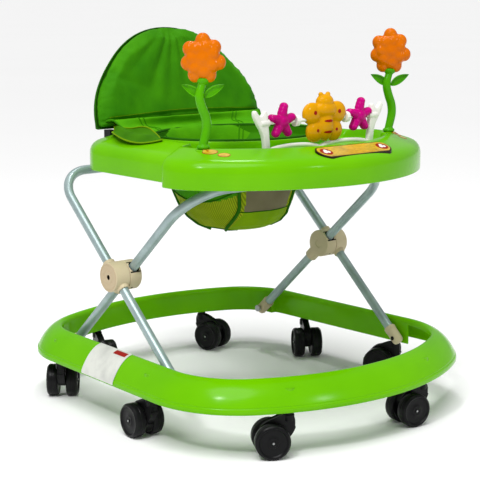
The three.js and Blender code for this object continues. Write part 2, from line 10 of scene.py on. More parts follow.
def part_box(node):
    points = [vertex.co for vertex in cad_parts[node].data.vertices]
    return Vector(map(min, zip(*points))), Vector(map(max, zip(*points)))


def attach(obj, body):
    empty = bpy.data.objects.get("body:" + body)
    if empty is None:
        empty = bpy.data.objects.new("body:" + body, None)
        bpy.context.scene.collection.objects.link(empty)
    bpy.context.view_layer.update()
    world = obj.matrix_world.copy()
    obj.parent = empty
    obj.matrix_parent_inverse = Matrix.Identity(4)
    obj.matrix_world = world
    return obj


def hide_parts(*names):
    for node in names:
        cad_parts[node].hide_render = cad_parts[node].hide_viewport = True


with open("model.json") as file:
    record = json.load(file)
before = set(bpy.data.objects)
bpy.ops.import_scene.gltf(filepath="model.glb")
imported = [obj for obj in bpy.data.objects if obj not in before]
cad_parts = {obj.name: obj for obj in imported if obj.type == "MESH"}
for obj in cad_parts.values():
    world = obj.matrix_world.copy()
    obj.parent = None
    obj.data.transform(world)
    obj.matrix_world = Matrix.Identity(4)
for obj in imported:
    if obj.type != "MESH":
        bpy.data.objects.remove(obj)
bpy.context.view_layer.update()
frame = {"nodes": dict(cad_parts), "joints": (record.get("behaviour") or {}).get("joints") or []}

MM = 0.001
TAU = 2 * math.pi
SIDES = (("right", -1), ("left", 1))


# ---- driving dimensions, in millimetres, read from the frame where it has them ----
def mm_box(node):
    low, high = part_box(node)
    return low / MM, high / MM


RING_LOW, RING_HIGH = mm_box("base_ring")
CHANNEL = 46.5
RING_HALF_Y = RING_HIGH.y - CHANNEL
RING_FRONT_HALF = RING_HIGH.x - CHANNEL
RING_REAR_HALF = RING_FRONT_HALF - 12
RING_Z = RING_LOW.z
FOOT_TRACK = (-262, -148)
SIDE_FRONT_Y = -149
SIDE_RUN = 318.7
HUB_LOW, HUB_HIGH = mm_box("hub_outer_left")
HUB_Y = (HUB_LOW.y + HUB_HIGH.y) / 2
HUB_Z = (HUB_LOW.z + HUB_HIGH.z) / 2
HUB_R = (HUB_HIGH.z - HUB_LOW.z) / 2
REAR_HIGH = mm_box("rear_frame_tube")[1]
TUBE_R = 8
REAR_X = REAR_HIGH.x - TUBE_R
FRONT_X = mm_box("front_frame_tube")[1].x - TUBE_R
BAR_Z = REAR_HIGH.z - TUBE_R
BAR_RUN = REAR_HIGH.y - TUBE_R - HUB_Y
LEG_RUN = 170
LEG_DROP = 155
TRAY_LOW, TRAY_HIGH = mm_box("tray")
TRAY_HALF = TRAY_HIGH.x
TRAY_Z = TRAY_LOW.z
SEAT_Y = 15
SEAT_A = 162
SEAT_B = 130
BACK_Y = 180
BACK_HALF = mm_box("backrest_cushion")[1].x
BACK_TALL = 181
BACK_LEAN = math.radians(17)
TOY_Y = -186
TOY_Z = 504


# ---- mesh helpers ----
def link(name, mesh):
    obj = bpy.data.objects.new(name, mesh)
    bpy.context.scene.collection.objects.link(obj)
    return obj


def shade(obj, angle=38):
    obj.data.shade_smooth()
    obj.data.set_sharp_from_angle(angle=math.radians(angle))
    return obj


def build(name, shape, angle=38):
    """An object from one shape or several, each a pair of points in millimetres and faces."""
    shapes = shape if isinstance(shape, list) else [shape]
    points, faces = [], []
    for some_points, some_faces in shapes:
        start = len(points)
        points += [Vector(p) * MM for p in some_points]
        faces += [tuple(start + i for i in f) for f in some_faces]
    mesh = bpy.data.meshes.new(name)
    mesh.from_pydata(points, [], faces)
    bm = bmesh.new()
    bm.from_mesh(mesh)
    bmesh.ops.recalc_face_normals(bm, faces=bm.faces)
    bm.to_mesh(mesh)
    bm.free()
    return shade(link(name, mesh), angle)


def apply_modifiers(obj):
    graph = bpy.context.evaluated_depsgraph_get()
    graph.update()
    mesh = bpy.data.meshes.new_from_object(obj.evaluated_get(graph))
    obj.modifiers.clear()
    obj.data = mesh
    return obj


def thicken(obj, thickness):
    """Gives a sheet its thickness, inward from its front."""
    thick = obj.modifiers.new("thickness", "SOLIDIFY")
    thick.thickness = thickness * MM
    thick.offset = -1


def woven_sheet(name, grid, thickness):
    """A thin sheet through a grid of points, row by row."""
    stride = len(grid[0])
    points = [p for row in grid for p in row]
    faces = [(j * stride + c, j * stride + c + 1, (j + 1) * stride + c + 1, (j + 1) * stride + c)
             for j in range(len(grid) - 1) for c in range(stride - 1)]
    sheet = build(name, (points, faces), 70)
    thicken(sheet, thickness)
    return sheet


def loft(loops, closed=False, caps=True):
    """A skin through loops of equal length; closed joins the last loop to the first."""
    n = len(loops[0])
    points = [p for loop in loops for p in loop]
    faces = []
    for i in range(len(loops) if closed else len(loops) - 1):
        a = i * n
        b = (i + 1) % len(loops) * n
        for k in range(n):
            k2 = (k + 1) % n
            faces.append((a + k, a + k2, b + k2, b + k))
    if caps and not closed:
        faces.append(tuple(reversed(range(n))))
        faces.append(tuple(range((len(loops) - 1) * n, len(loops) * n)))
    return points, faces


def sweep(points, radius, sides=20, caps=True):
    """A round tube along points. The radius may be a number or a list, one for each point."""
    points = [Vector(p) for p in points]
    radii = radius if isinstance(radius, list) else [radius] * len(points)
    side = None
    loops = []
    for i, p in enumerate(points):
        ahead = points[min(i + 1, len(points) - 1)] - points[max(i - 1, 0)]
        ahead.normalize()
        if side is None:
            side = ahead.cross(Vector((0, 0, 1)) if abs(ahead.z) < 0.9 else Vector((1, 0, 0)))
        side = (side - ahead * side.dot(ahead)).normalized()
        other = ahead.cross(side)
        loops.append([p + (side * math.cos(TAU * k / sides) + other * math.sin(TAU * k / sides)) * radii[i]
                      for k in range(sides)])
    return loft(loops, caps=caps)


def ring_sweep(points, radius, sides=10):
    """A round cord that closes on itself."""
    points = [Vector(p) for p in points]
    n = len(points)
    loops = []
    for i, p in enumerate(points):
        ahead = (points[(i + 1) % n] - points[i - 1]).normalized()
        side = ahead.cross(Vector((0, 0, 1)))
        if side.length < 0.1:
            side = ahead.cross(Vector((0, 1, 0)))
        side.normalize()
        other = ahead.cross(side)
        loops.append([p + (side * math.cos(TAU * k / sides) + other * math.sin(TAU * k / sides)) * radius
                      for k in range(sides)])
    return loft(loops, closed=True)


def lathe(profile, place=None, sides=48):
    """Profile points are (radius, height); place is a matrix from the lathe's own frame."""
    place = place or Matrix()
    loops = []
    for r, h in profile:
        loops.append([place @ Vector((r * math.cos(TAU * k / sides), r * math.sin(TAU * k / sides), h))
                      for k in range(sides)])
    return loft(loops)


def along_axis(origin, axis):
    """A matrix that puts Z along an axis, at an origin."""
    turn = Vector(axis).to_track_quat("Z", "Y").to_matrix().to_4x4()
    return Matrix.Translation(Vector(origin)) @ turn


def upright(x, y):
    """A matrix whose plane is across and up, with depth towards the front."""
    return Matrix(((1, 0, 0, x), (0, 0, -1, y), (0, 1, 0, 0), (0, 0, 0, 1)))


def rod(a, b, r, sides=32, edge=0.8):
    """A cylinder between two points with softened ends."""
    a, b = Vector(a), Vector(b)
    length = (b - a).length
    edge = min(edge, length / 3, r / 2)
    profile = [(0.01, 0), (r - edge, 0), (r - edge * 0.3, edge * 0.3), (r, edge), (r, length - edge),
               (r - edge * 0.3, length - edge * 0.3), (r - edge, length), (0.01, length)]
    return lathe(profile, along_axis(a, b - a), sides)


def chaikin(points, rounds, closed=True):
    """Corner cutting that rounds an outline."""
    points = [Vector(p) for p in points]
    for _ in range(rounds):
        cut = []
        spans = len(points) if closed else len(points) - 1
        for i in range(spans):
            p, q = points[i], points[(i + 1) % len(points)]
            cut += [p.lerp(q, 0.25), p.lerp(q, 0.75)]
        points = cut if closed else [points[0], *cut, points[-1]]
    return points


def smooth_path(points, steps=8):
    """A Catmull-Rom curve through the points."""
    points = [Vector(p) for p in points]
    path = []
    for i in range(len(points) - 1):
        p0 = points[max(i - 1, 0)]
        p1, p2 = points[i], points[i + 1]
        p3 = points[min(i + 2, len(points) - 1)]
        for k in range(steps):
            t = k / steps
            path.append(0.5 * (2 * p1 + (p2 - p0) * t + (2 * p0 - 5 * p1 + 4 * p2 - p3) * t * t
                               + (3 * p1 - p0 - 3 * p2 + p3) * t ** 3))
    return path + [points[-1]]


def slab(outline, place, depth, edge=0):
    """An outline in a plane, given depth along the plane's Z, with softened edges."""
    layers = [(0, -edge), (edge * 0.3, -edge * 0.3), (edge, 0), (depth - edge, 0),
              (depth - edge * 0.3, -edge * 0.3), (depth, -edge)] if edge else [(0, 0), (depth, 0)]
    n = len(outline)
    loops = []
    for height, grow in layers:
        loop = []
        for i, p in enumerate(outline):
            p = Vector((p[0], p[1]))
            ahead = Vector(outline[(i + 1) % n][:2]) - Vector(outline[i - 1][:2])
            out = Vector((ahead.y, -ahead.x)).normalized()
            p = p + out * grow
            loop.append(place @ Vector((p.x, p.y, height)))
        loops.append(loop)
    return loft(loops)


def ellipsoid(x, y, z, a, b, c, wide=24, high=14):
    loops = []
    for i in range(1, high):
        t = math.pi * i / high
        loops.append([(x + a * math.sin(t) * math.cos(TAU * k / wide),
                       y + b * math.sin(t) * math.sin(TAU * k / wide),
                       z - c * math.cos(t)) for k in range(wide)])
    return loft(loops)


def moulded(name, shapes, voxel=1.0, passes=6, factor=0.5):
    """Overlapping shapes melted into one smooth moulding."""
    obj = build(name, shapes)
    remesh = obj.modifiers.new("melt", "REMESH")
    remesh.mode = "VOXEL"
    remesh.voxel_size = voxel * MM
    smooth = obj.modifiers.new("smooth", "SMOOTH")
    smooth.factor = factor
    smooth.iterations = passes
    apply_modifiers(obj)
    obj.data.shade_smooth()
    return obj


def cut(obj, cutter, how="DIFFERENCE"):
    knife = obj.modifiers.new("cut", "BOOLEAN")
    knife.operation = how
    knife.solver = "EXACT"
    knife.object = cutter
    apply_modifiers(obj)
    bpy.data.objects.remove(cutter)
    return shade(obj)


def soften(obj, width=0.8, segments=2):
    edge = obj.modifiers.new("edge", "BEVEL")
    edge.width = width * MM
    edge.segments = segments
    edge.limit_method = "ANGLE"
    edge.angle_limit = math.radians(35)
    edge.harden_normals = False
    return obj


# ---- materials ----
def linear(*rgb):
    """A display colour from 0 to 255 as a linear colour."""
    return tuple(((c / 255 + 0.055) / 1.055) ** 2.4 if c > 10 else c / 255 / 12.92 for c in rgb) + (1,)


class Paint:
    """A node material under construction."""

    def __init__(self, name, **sockets):
        self.material = bpy.data.materials.new(name)
        self.material.use_nodes = True
        self.tree = self.material.node_tree
        self.shader = self.tree.nodes["Principled BSDF"]
        self.place = self.node("ShaderNodeTexCoord").outputs["Object"]
        for key, value in sockets.items():
            self.shader.inputs[key.replace("_", " ")].default_value = value

    def node(self, kind, settings=None, **inputs):
        made = self.tree.nodes.new(kind)
        for key, value in (settings or {}).items():
            setattr(made, key, value)
        for key, value in inputs.items():
            socket = made.inputs[key.replace("_", " ")]
            if isinstance(value, bpy.types.NodeSocket):
                self.tree.links.new(value, socket)
            else:
                socket.default_value = value
        return made

    def link(self, output, key):
        self.tree.links.new(output, self.shader.inputs[key])

    def noise(self, scale, detail=3, stretch=(1, 1, 1)):
        mapping = self.node("ShaderNodeMapping", Vector=self.place, Scale=stretch)
        made = self.node("ShaderNodeTexNoise", Vector=mapping.outputs[0], Scale=scale, Detail=detail)
        return made.outputs[0]

    def wave(self, axis, pitch):
        """Stripes across an axis, one each pitch millimetres."""
        settings = {"wave_type": "BANDS", "wave_profile": "SIN", "bands_direction": axis}
        scale = TAU / 20 / (pitch * MM)
        return self.node("ShaderNodeTexWave", settings, Vector=self.place, Scale=scale,
                         Distortion=0.0).outputs["Fac"]

    def ramp(self, value, low, high, a=0.0, b=1.0):
        return self.node("ShaderNodeMapRange", {"clamp": True}, Value=value,
                         **{"From_Min": low, "From_Max": high, "To_Min": a, "To_Max": b}).outputs[0]

    def mix(self, factor, a, b):
        made = self.tree.nodes.new("ShaderNodeMix")
        made.data_type = "RGBA"
        for key, value in ((0, factor), (6, a), (7, b)):
            if isinstance(value, bpy.types.NodeSocket):
                self.tree.links.new(value, made.inputs[key])
            else:
                made.inputs[key].default_value = value
        return made.outputs[2]

    def math(self, how, a, b=0.0):
        made = self.tree.nodes.new("ShaderNodeMath")
        made.operation = how
        for key, value in ((0, a), (1, b)):
            if isinstance(value, bpy.types.NodeSocket):
                self.tree.links.new(value, made.inputs[key])
            else:
                made.inputs[key].default_value = value
        return made.outputs[0]

    def bump(self, height, strength, distance, below=None):
        made = self.node("ShaderNodeBump", Strength=strength, Distance=distance * MM, Height=height)
        if below is not None:
            self.tree.links.new(below, made.inputs["Normal"])
        return made.outputs[0]


def plastic(name, colour, shade_colour, rough=0.2, grain=0.04):
    """Moulded plastic: slow colour drift, faint flow waves, fine grain, scuffs and paler edges."""
    paint = Paint(name, Specular_IOR_Level=0.12, IOR=1.48)
    drift = paint.ramp(paint.noise(7), 0.35, 0.7)
    worn = paint.ramp(paint.node("ShaderNodeNewGeometry").outputs["Pointiness"], 0.54, 0.64, 0, 0.22)
    base = paint.mix(drift, linear(*shade_colour), linear(*colour))
    pale = tuple(min(255, c * 0.9 + 30) for c in colour)
    paint.link(paint.mix(worn, base, linear(*pale)), "Base Color")
    scuff = paint.ramp(paint.noise(45, 6, (1, 3, 2)), 0.55, 0.8)
    paint.link(paint.math("ADD", paint.math("MULTIPLY", scuff, 0.06), rough), "Roughness")
    waves = paint.bump(paint.noise(14, 1), 0.08, 0.8)
    paint.link(paint.bump(paint.noise(1400, 2), grain, 0.2, waves), "Normal")
    return paint.material


def metal(name, colour, shade_colour, rough, metallic):
    """Powder-coated or bare steel with fine orange peel and drawn streaks."""
    paint = Paint(name, Metallic=metallic)
    drift = paint.ramp(paint.noise(30, 4), 0.35, 0.7)
    paint.link(paint.mix(drift, linear(*shade_colour), linear(*colour)), "Base Color")
    paint.link(paint.ramp(paint.noise(120, 5, (1, 1, 6)), 0.3, 0.75, rough, rough + 0.15), "Roughness")
    paint.link(paint.bump(paint.noise(520, 2), 0.12, 0.25), "Normal")
    return paint.material


def cloth(name, colour, shade_colour, pitch=1.1, rib=None):
    """Woven fabric: warp and weft, soft tonal patches, and ribs where the cloth is a mesh."""
    paint = Paint(name, Sheen_Weight=0.0, Sheen_Roughness=0.5, Roughness=0.7, Specular_IOR_Level=0.08)
    warp = paint.wave("X", pitch)
    weft = paint.wave("Z", pitch)
    weave = paint.math("MULTIPLY", warp, weft)
    patches = paint.ramp(paint.noise(16, 4), 0.3, 0.72)
    base = paint.mix(patches, linear(*shade_colour), linear(*colour))
    dark = linear(*(c * 0.72 for c in shade_colour))
    threads = paint.mix(paint.math("MULTIPLY", weave, 0.28), base, dark)
    height = weave
    if rib:
        ribs = paint.wave(*rib)
        threads = paint.mix(paint.ramp(ribs, 0.2, 0.7, 0.75, 0), threads, dark)
        height = paint.math("ADD", weave, paint.math("MULTIPLY", ribs, 3.0))
    paint.link(threads, "Base Color")
    paint.link(paint.bump(height, 0.35, 0.35, paint.bump(paint.noise(90, 4), 0.25, 0.8)), "Normal")
    return paint.material


def film(name, colour, shade_colour):
    """Paper film: faint fibres, a soft handled tint and tiny lifted bubbles."""
    paint = Paint(name, Roughness=0.38, Coat_Weight=0.3, Coat_Roughness=0.2)
    tint = paint.ramp(paint.noise(40, 5), 0.4, 0.75)
    paint.link(paint.mix(tint, linear(*colour), linear(*shade_colour)), "Base Color")
    paint.link(paint.bump(paint.noise(70, 3), 0.25, 0.8, paint.bump(paint.noise(900, 2), 0.1, 0.2)), "Normal")
    return paint.material


def printed(name, colour, line_colour):
    """A golden printed face with fine darker flecks."""
    paint = Paint(name, Roughness=0.3, Coat_Weight=0.4)
    bands = paint.ramp(paint.noise(120, 5, (1, 3, 1)), 0.5, 0.7)
    patches = paint.ramp(paint.noise(45, 4), 0.45, 0.65, 0, 0.6)
    base = paint.mix(patches, linear(*colour), linear(*(c * 0.8 for c in colour)))
    paint.link(paint.mix(paint.math("MULTIPLY", bands, 0.55), base, linear(*line_colour)), "Base Color")
    paint.link(paint.bump(paint.noise(500, 2), 0.05, 0.2), "Normal")
    return paint.material


RECIPES = {
    plastic: {
        "green_plastic": ((108, 186, 0), (98, 176, 0), 0.17),
        "leaf_plastic": ((82, 168, 0), (68, 152, 0), 0.24),
        "black_plastic": ((26, 26, 27), (18, 18, 19), 0.3, 0.12),
        "cream_plastic": ((204, 190, 158), (192, 178, 146), 0.4, 0.1),
        "beige_plastic": ((196, 178, 148), (186, 168, 138), 0.45, 0.1),
        "orange_plastic": ((218, 116, 0), (204, 100, 0), 0.14),
        "magenta_plastic": ((200, 0, 128), (178, 0, 108), 0.16),
        "yellow_plastic": ((222, 160, 2), (208, 142, 0), 0.16),
        "white_plastic": ((240, 238, 232), (228, 226, 220), 0.3),
        "red_print": ((160, 22, 8), (140, 16, 6), 0.3),
        "panel_plastic": ((38, 28, 12), (28, 20, 10), 0.3),
        # painted shade: a near-black brown laid on recess walls, notch faces and holes where shade falls
        "painted_gap_shade": ((30, 28, 22), (18, 17, 14), 0.6),
    },
    metal: {
        "painted_steel": ((166, 184, 184), (144, 162, 162), 0.28, 0.35),
        "pin_steel": ((190, 192, 190), (160, 162, 162), 0.28, 0.95),
    },
    cloth: {
        "green_fabric": ((64, 142, 0), (46, 120, 0)),
        "lime_fabric": ((122, 160, 0), (104, 142, 0)),
        "dark_fabric": ((40, 104, 0), (28, 84, 0)),
        "taupe_fabric": ((122, 116, 88), (100, 94, 70), 1.4),
        "mesh_fabric": ((164, 180, 26), (126, 150, 6), 1.4, ("Y", 2.6)),
        "flap_fabric": ((66, 128, 0), (48, 104, 0)),
        # seat_fabric is a brightened copy of the green fabric: painted light for the drape sheet, which sits
        # in shade in the seat
        "seat_fabric": ((88, 172, 0), (66, 146, 0)),
    },
    film: {
        "label_film": ((214, 216, 208), (190, 192, 186)),
    },
    printed: {
        "panel_print": ((214, 176, 30), (130, 84, 6)),
    },
}
LOOKS = {name: kind(name, *values) for kind, looks in RECIPES.items() for name, values in looks.items()}


def finish_piece(obj, body, look, *nodes, slot=None):
    """Paints a piece, fixes it to its body and hides the frame nodes it stands for."""
    obj.data.materials.clear()
    obj.data.materials.append(LOOKS[look])
    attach(obj, body)
    if nodes:
        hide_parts(*nodes)
    return obj


def keep_node(name, look, width=0.7):
    """A frame node that is right as it is gets its material and softened edges."""
    obj = frame["nodes"][name]
    obj.data.materials.clear()
    obj.data.materials.append(LOOKS[look])
    obj.data.shade_smooth()
    obj.data.set_sharp_from_angle(angle=math.radians(32))
    if width:
        soften(obj, width)
    return obj


# ---- base ring ----
def ring_outline(out, steps=18):
    """The ridge line round the ring, moved outward: front arc, corner, side, corner, rear arc."""
    front_arc, front_corner, rear_arc, rear_corner = 394, 120, 470, 110
    front_y = -RING_HALF_Y + front_arc
    rear_y = RING_HALF_Y - rear_arc
    cx1 = RING_FRONT_HALF - front_corner
    cx2 = RING_REAR_HALF - rear_corner
    cy1 = front_y - math.sqrt((front_arc - front_corner) ** 2 - cx1 ** 2)
    cy2 = rear_y + math.sqrt((rear_arc - rear_corner) ** 2 - cx2 ** 2)
    turn1 = math.atan2(cx1, front_y - cy1)
    turn2 = math.atan2(cx2, cy2 - rear_y)
    half = []

    def arc(x, y, r, start, end):
        for i in range(steps):
            t = start + (end - start) * i / steps
            half.append((x + (r + out) * math.sin(t), y - (r + out) * math.cos(t)))

    arc(0, front_y, front_arc, 0, turn1)
    arc(cx1, cy1, front_corner, turn1, math.pi / 2)
    for i in range(steps):
        t = i / steps
        half.append(((RING_FRONT_HALF + out) * (1 - t) + (RING_REAR_HALF + out) * t,
                     cy1 * (1 - t) + cy2 * t))
    arc(cx2, cy2, rear_corner, math.pi / 2, math.pi - turn2)
    arc(0, rear_y, rear_arc, math.pi - turn2, math.pi)
    other = [(-x, y) for x, y in reversed(half[1:])]
    return half + [(0, RING_HALF_Y + out)] + other


def ring_loops(section):
    return [[(x, y, RING_Z + up) for x, y in ring_outline(out)] for out, up in section]


def ring_section():
    """The channel's section: inner wall, rounded ridge, sloping side, crease, lip, and the inside."""
    crown = smooth_path([(0, 36), (0.8, 41), (3.4, 45), (7.5, 46.4), (13, 44.6), (20, 41), (28, 34.6),
                         (35.5, 26), (41, 17.5), (44.2, 11.6)], 4)
    lip = [(44.6, 10.7), (44.5, 9.9), (45.6, 9.2), (46.3, 7.6), (46.5, 5), (46.5, 0.8), (45.9, 0), (43.8, 0)]
    inside = [(43.3, 1), (42, 8.5), (38.2, 17), (33, 23.5), (26.5, 31.5), (19, 37.5), (12.5, 41),
              (7.5, 42.8), (4.4, 41.6), (3, 38.5), (3, 1), (2.4, 0), (0.6, 0), (0, 0.8), (0, 4), (0, 20)]
    return [(p.x, p.y) for p in (Vector(q) for q in crown)] + lip + inside


def base_ring():
    ring = build("base_ring_shell", loft(ring_loops(ring_section()), closed=True), 30)
    for _, s in SIDES:
        wall = [(x, y) for x, y in ring_outline(0, 40) if FOOT_TRACK[0] <= y <= FOOT_TRACK[1] and x * s > 0]
        if s < 0:
            wall.reverse()
        inward = Vector((-s, 0, 0))
        loops = []
        for x, y in wall:
            corner = Vector((x, y, 0))
            loops.append([corner + inward * 14 + Vector((0, 0, 60)), corner - inward * 5 + Vector((0, 0, 60)),
                          corner - inward * 5 + Vector((0, 0, RING_Z + 36)),
                          corner + inward * 14 + Vector((0, 0, RING_Z + 36))])
        cut(ring, build("cutter", loft(loops)))
    shapes = []
    middle = ring_outline(22, 18)
    n = len(middle)
    for i in range(4, n, 9):
        x, y = middle[i]
        if abs(x) < RING_FRONT_HALF + 24 and FOOT_TRACK[0] - 14 < y < FOOT_TRACK[1] + 14:
            continue
        ahead = (Vector(middle[(i + 1) % n]) - Vector(middle[i - 1])).to_3d().normalized()
        out = Vector((ahead.y, -ahead.x, 0))
        inner, outer = -20.5, 20.4
        web = [(inner, 8), (inner, 37), (-14, 41), (-2, 37), (9, 27), (17, 16), (outer, 8)]
        loop_a = [Vector((x, y, RING_Z)) + out * a + ahead * 0.8 + Vector((0, 0, u)) for a, u in web]
        loop_b = [Vector((x, y, RING_Z)) + out * a - ahead * 0.8 + Vector((0, 0, u)) for a, u in web]
        shapes.append(loft([loop_a, loop_b]))
    for stem in STEMS:
        top = RING_Z + 33
        shapes.append(lathe([(5.6, 26), (5.6, 0.5), (6.2, 0), (9.4, 0), (10, 0.6), (10, top - RING_Z),
                             (0.01, top - RING_Z)], Matrix.Translation((stem.x, stem.y, RING_Z + 1.5)), 32))
    for _, s in SIDES:
        x0 = s * 237.4
        y0 = HUB_Y + LEG_RUN
        pad = [(y0 - 13, RING_Z), (y0 + 13, RING_Z), (y0 + 13, RING_Z + 20), (y0 + 9, RING_Z + 25),
               (y0 - 9, RING_Z + 25), (y0 - 13, RING_Z + 20)]
        shapes.append(loft([[Vector((x0 + s * d, y, z)) for y, z in pad] for d in (0, 12)]))
    parts = build("ring_inner_parts", shapes, 30)
    join(ring, parts)
    ring.name = "ring_moulding"
    finish_piece(ring, "base", "green_plastic", "base_ring")


def join(obj, *others):
    """Adds other objects' meshes to one."""
    bm = bmesh.new()
    bm.from_mesh(obj.data)
    for other in others:
        bm.from_mesh(other.data)
        bpy.data.objects.remove(other)
    bm.to_mesh(obj.data)
    bm.free()
    return obj


JOINTS = {j["name"]: j for j in frame["joints"]}


def joint_at(name):
    return Vector(JOINTS[name]["pos_m"]) / MM


STEMS = [joint_at(f"caster_swivel_{i}") for i in range(1, 9)]
AXLES = [joint_at(f"wheel_spin_{i}") for i in range(1, 9)]


# ---- casters: local frame has the stem on Z and the trail along +X ----
def caster_housing(place):
    """A hood between the wheels, on a collar and a stem."""
    hood = chaikin([(-8, 66), (-8.5, 44), (-3, 36), (14, 21), (20, 19), (28, 18), (37, 20), (41, 28),
                    (46, 38), (45, 47), (38, 54.5), (25, 60), (9, 66.5)], 2)
    hood = slab([(p.x, p.y) for p in reversed(hood)], place @ upright(0, 6.2), 12.4, 1.2)
    collar = lathe([(0.01, 56), (8.2, 56), (9, 57), (9, 66), (8.2, 67), (7.6, 67.4), (7.6, 73.4),
                    (6.8, 74), (0.01, 74)], place, 32)
    stem = lathe([(0.01, 70), (4.5, 70), (4.5, 84), (4.1, 84.6), (4.1, 86), (4.5, 86.6), (4.5, 99),
                  (3.4, 101), (0.01, 101)], place, 24)
    rim = chaikin([(-10.5, 47), (-3, 33), (12, 20), (14.2, 22.4), (-0.5, 35.5), (-7.8, 48.5)], 2)
    lip = slab([(p.x, p.y) for p in reversed(rim)],
               place @ upright(0, 6.5), 13, 0.6)
    return [hood, collar, stem, lip]


def caster_wheels(place):
    """Two wheels joined by their axle, with a rim ring, a dished face and a centre pin."""
    r = 28
    face = [(0.01, 26.2), (2.6, 26.2), (3, 25.8), (3, 25), (5.4, 25), (5.8, 25.4), (8.2, 25.4), (8.6, 24.8),
            (12, 23.8), (17, 23.6), (21, 24.4), (22.4, 25.6), (23, 26.6), (24.2, 27), (25.2, 26.7),
            (25.8, 25.8), (26.4, 25.4), (27.4, 24.6), (r, 23), (r, 18), (27.6, 17.4), (27.6, 16.6),
            (r, 16), (r, 10.6), (27.2, 8.6), (25.4, 7.2), (24, 7), (22, 8.4), (8, 8.8), (7.4, 7.2),
            (3.5, 7)]
    profile = [(a, -b) for a, b in face] + [(a, b) for a, b in reversed(face)]
    return lathe(profile, place, 56)


def casters():
    for i, (stem, axle) in enumerate(zip(STEMS, AXLES), 1):
        heading = math.atan2(axle.y - stem.y, axle.x - stem.x)
        place = Matrix.Translation((stem.x, stem.y, 0)) @ Matrix.Rotation(heading, 4, "Z")
        housing = build(f"caster_fork_{i}", caster_housing(place), 30)
        finish_piece(housing, f"caster_{i}", "black_plastic", f"caster_housing_{i}")
        across = along_axis(axle, (-math.sin(heading), math.cos(heading), 0))
        wheels = build(f"wheel_pair_{i}", caster_wheels(across), 26)
        finish_piece(wheels, f"wheels_{i}", "black_plastic", f"caster_wheels_{i}")
        caps = []
        for side in (-1, 1):
            centre = axle + Vector((-math.sin(heading), math.cos(heading), 0)) * side * 26
            caps.append(rod(centre, centre + (centre - axle).normalized() * 0.9, 1.7, 16, 0.4))
        pin = build(f"axle_end_{i}", caps)
        finish_piece(pin, f"wheels_{i}", "pin_steel")


# ---- tube frame ----
LEG = math.hypot(LEG_RUN, LEG_DROP)
REAR_DIR = Vector((0, LEG_RUN, LEG_DROP)).normalized()
FRONT_DIR = Vector((0, -LEG_RUN, LEG_DROP)).normalized()
TOP = math.hypot(BAR_RUN, BAR_Z - HUB_Z)


def on_leg(x, direction, t):
    return Vector((x, HUB_Y, HUB_Z)) + direction * t


def corner_arc(before, corner, after, radius, steps=20):
    a = (before - corner).normalized()
    b = (after - corner).normalized()
    half = a.angle(b) / 2
    centre = corner + (a + b).normalized() * radius / math.sin(half)
    start = corner + a * radius / math.tan(half) - centre
    end = corner + b * radius / math.tan(half) - centre
    axis = start.cross(end).normalized()
    sweep_angle = start.angle(end)
    return [centre + Matrix.Rotation(sweep_angle * i / steps, 3, axis) @ start for i in range(steps + 1)]


def u_tube(x, direction, start, radius):
    corner_a = on_leg(-x, direction, TOP)
    corner_b = on_leg(x, direction, TOP)
    return sweep([on_leg(-x, direction, start), on_leg(-x, direction, start + 2),
                  *corner_arc(on_leg(-x, direction, 0), corner_a, corner_b, radius),
                  *corner_arc(corner_a, corner_b, on_leg(x, direction, 0), radius),
                  on_leg(x, direction, start + 2), on_leg(x, direction, start)], TUBE_R, 32)


def tube_frame():
    rear = build("rear_tube", u_tube(REAR_X, REAR_DIR, -LEG + 7.5, 60), 50)
    finish_piece(rear, "rear_frame", "painted_steel", "rear_frame_tube")
    front = build("front_tube", u_tube(FRONT_X, FRONT_DIR, 7, 78), 50)
    finish_piece(front, "front_frame", "painted_steel", "front_frame_tube")
    for side, s in SIDES:
        leg = build(f"lower_leg_{side}", sweep([on_leg(s * FRONT_X, FRONT_DIR, t)
                                                for t in (-LEG + 7.5, -LEG / 2, -8)], TUBE_R, 32), 50)
        finish_piece(leg, "front_frame", "painted_steel", f"rear_leg_{side}")
        hub_halves(side, s)
        foot_cap(f"front_foot_cap_{side}", "rear_frame", s * REAR_X, REAR_DIR, f"front_foot_{side}")
        foot_cap(f"rear_foot_cap_{side}", "front_frame", s * FRONT_X, FRONT_DIR, f"rear_foot_{side}")


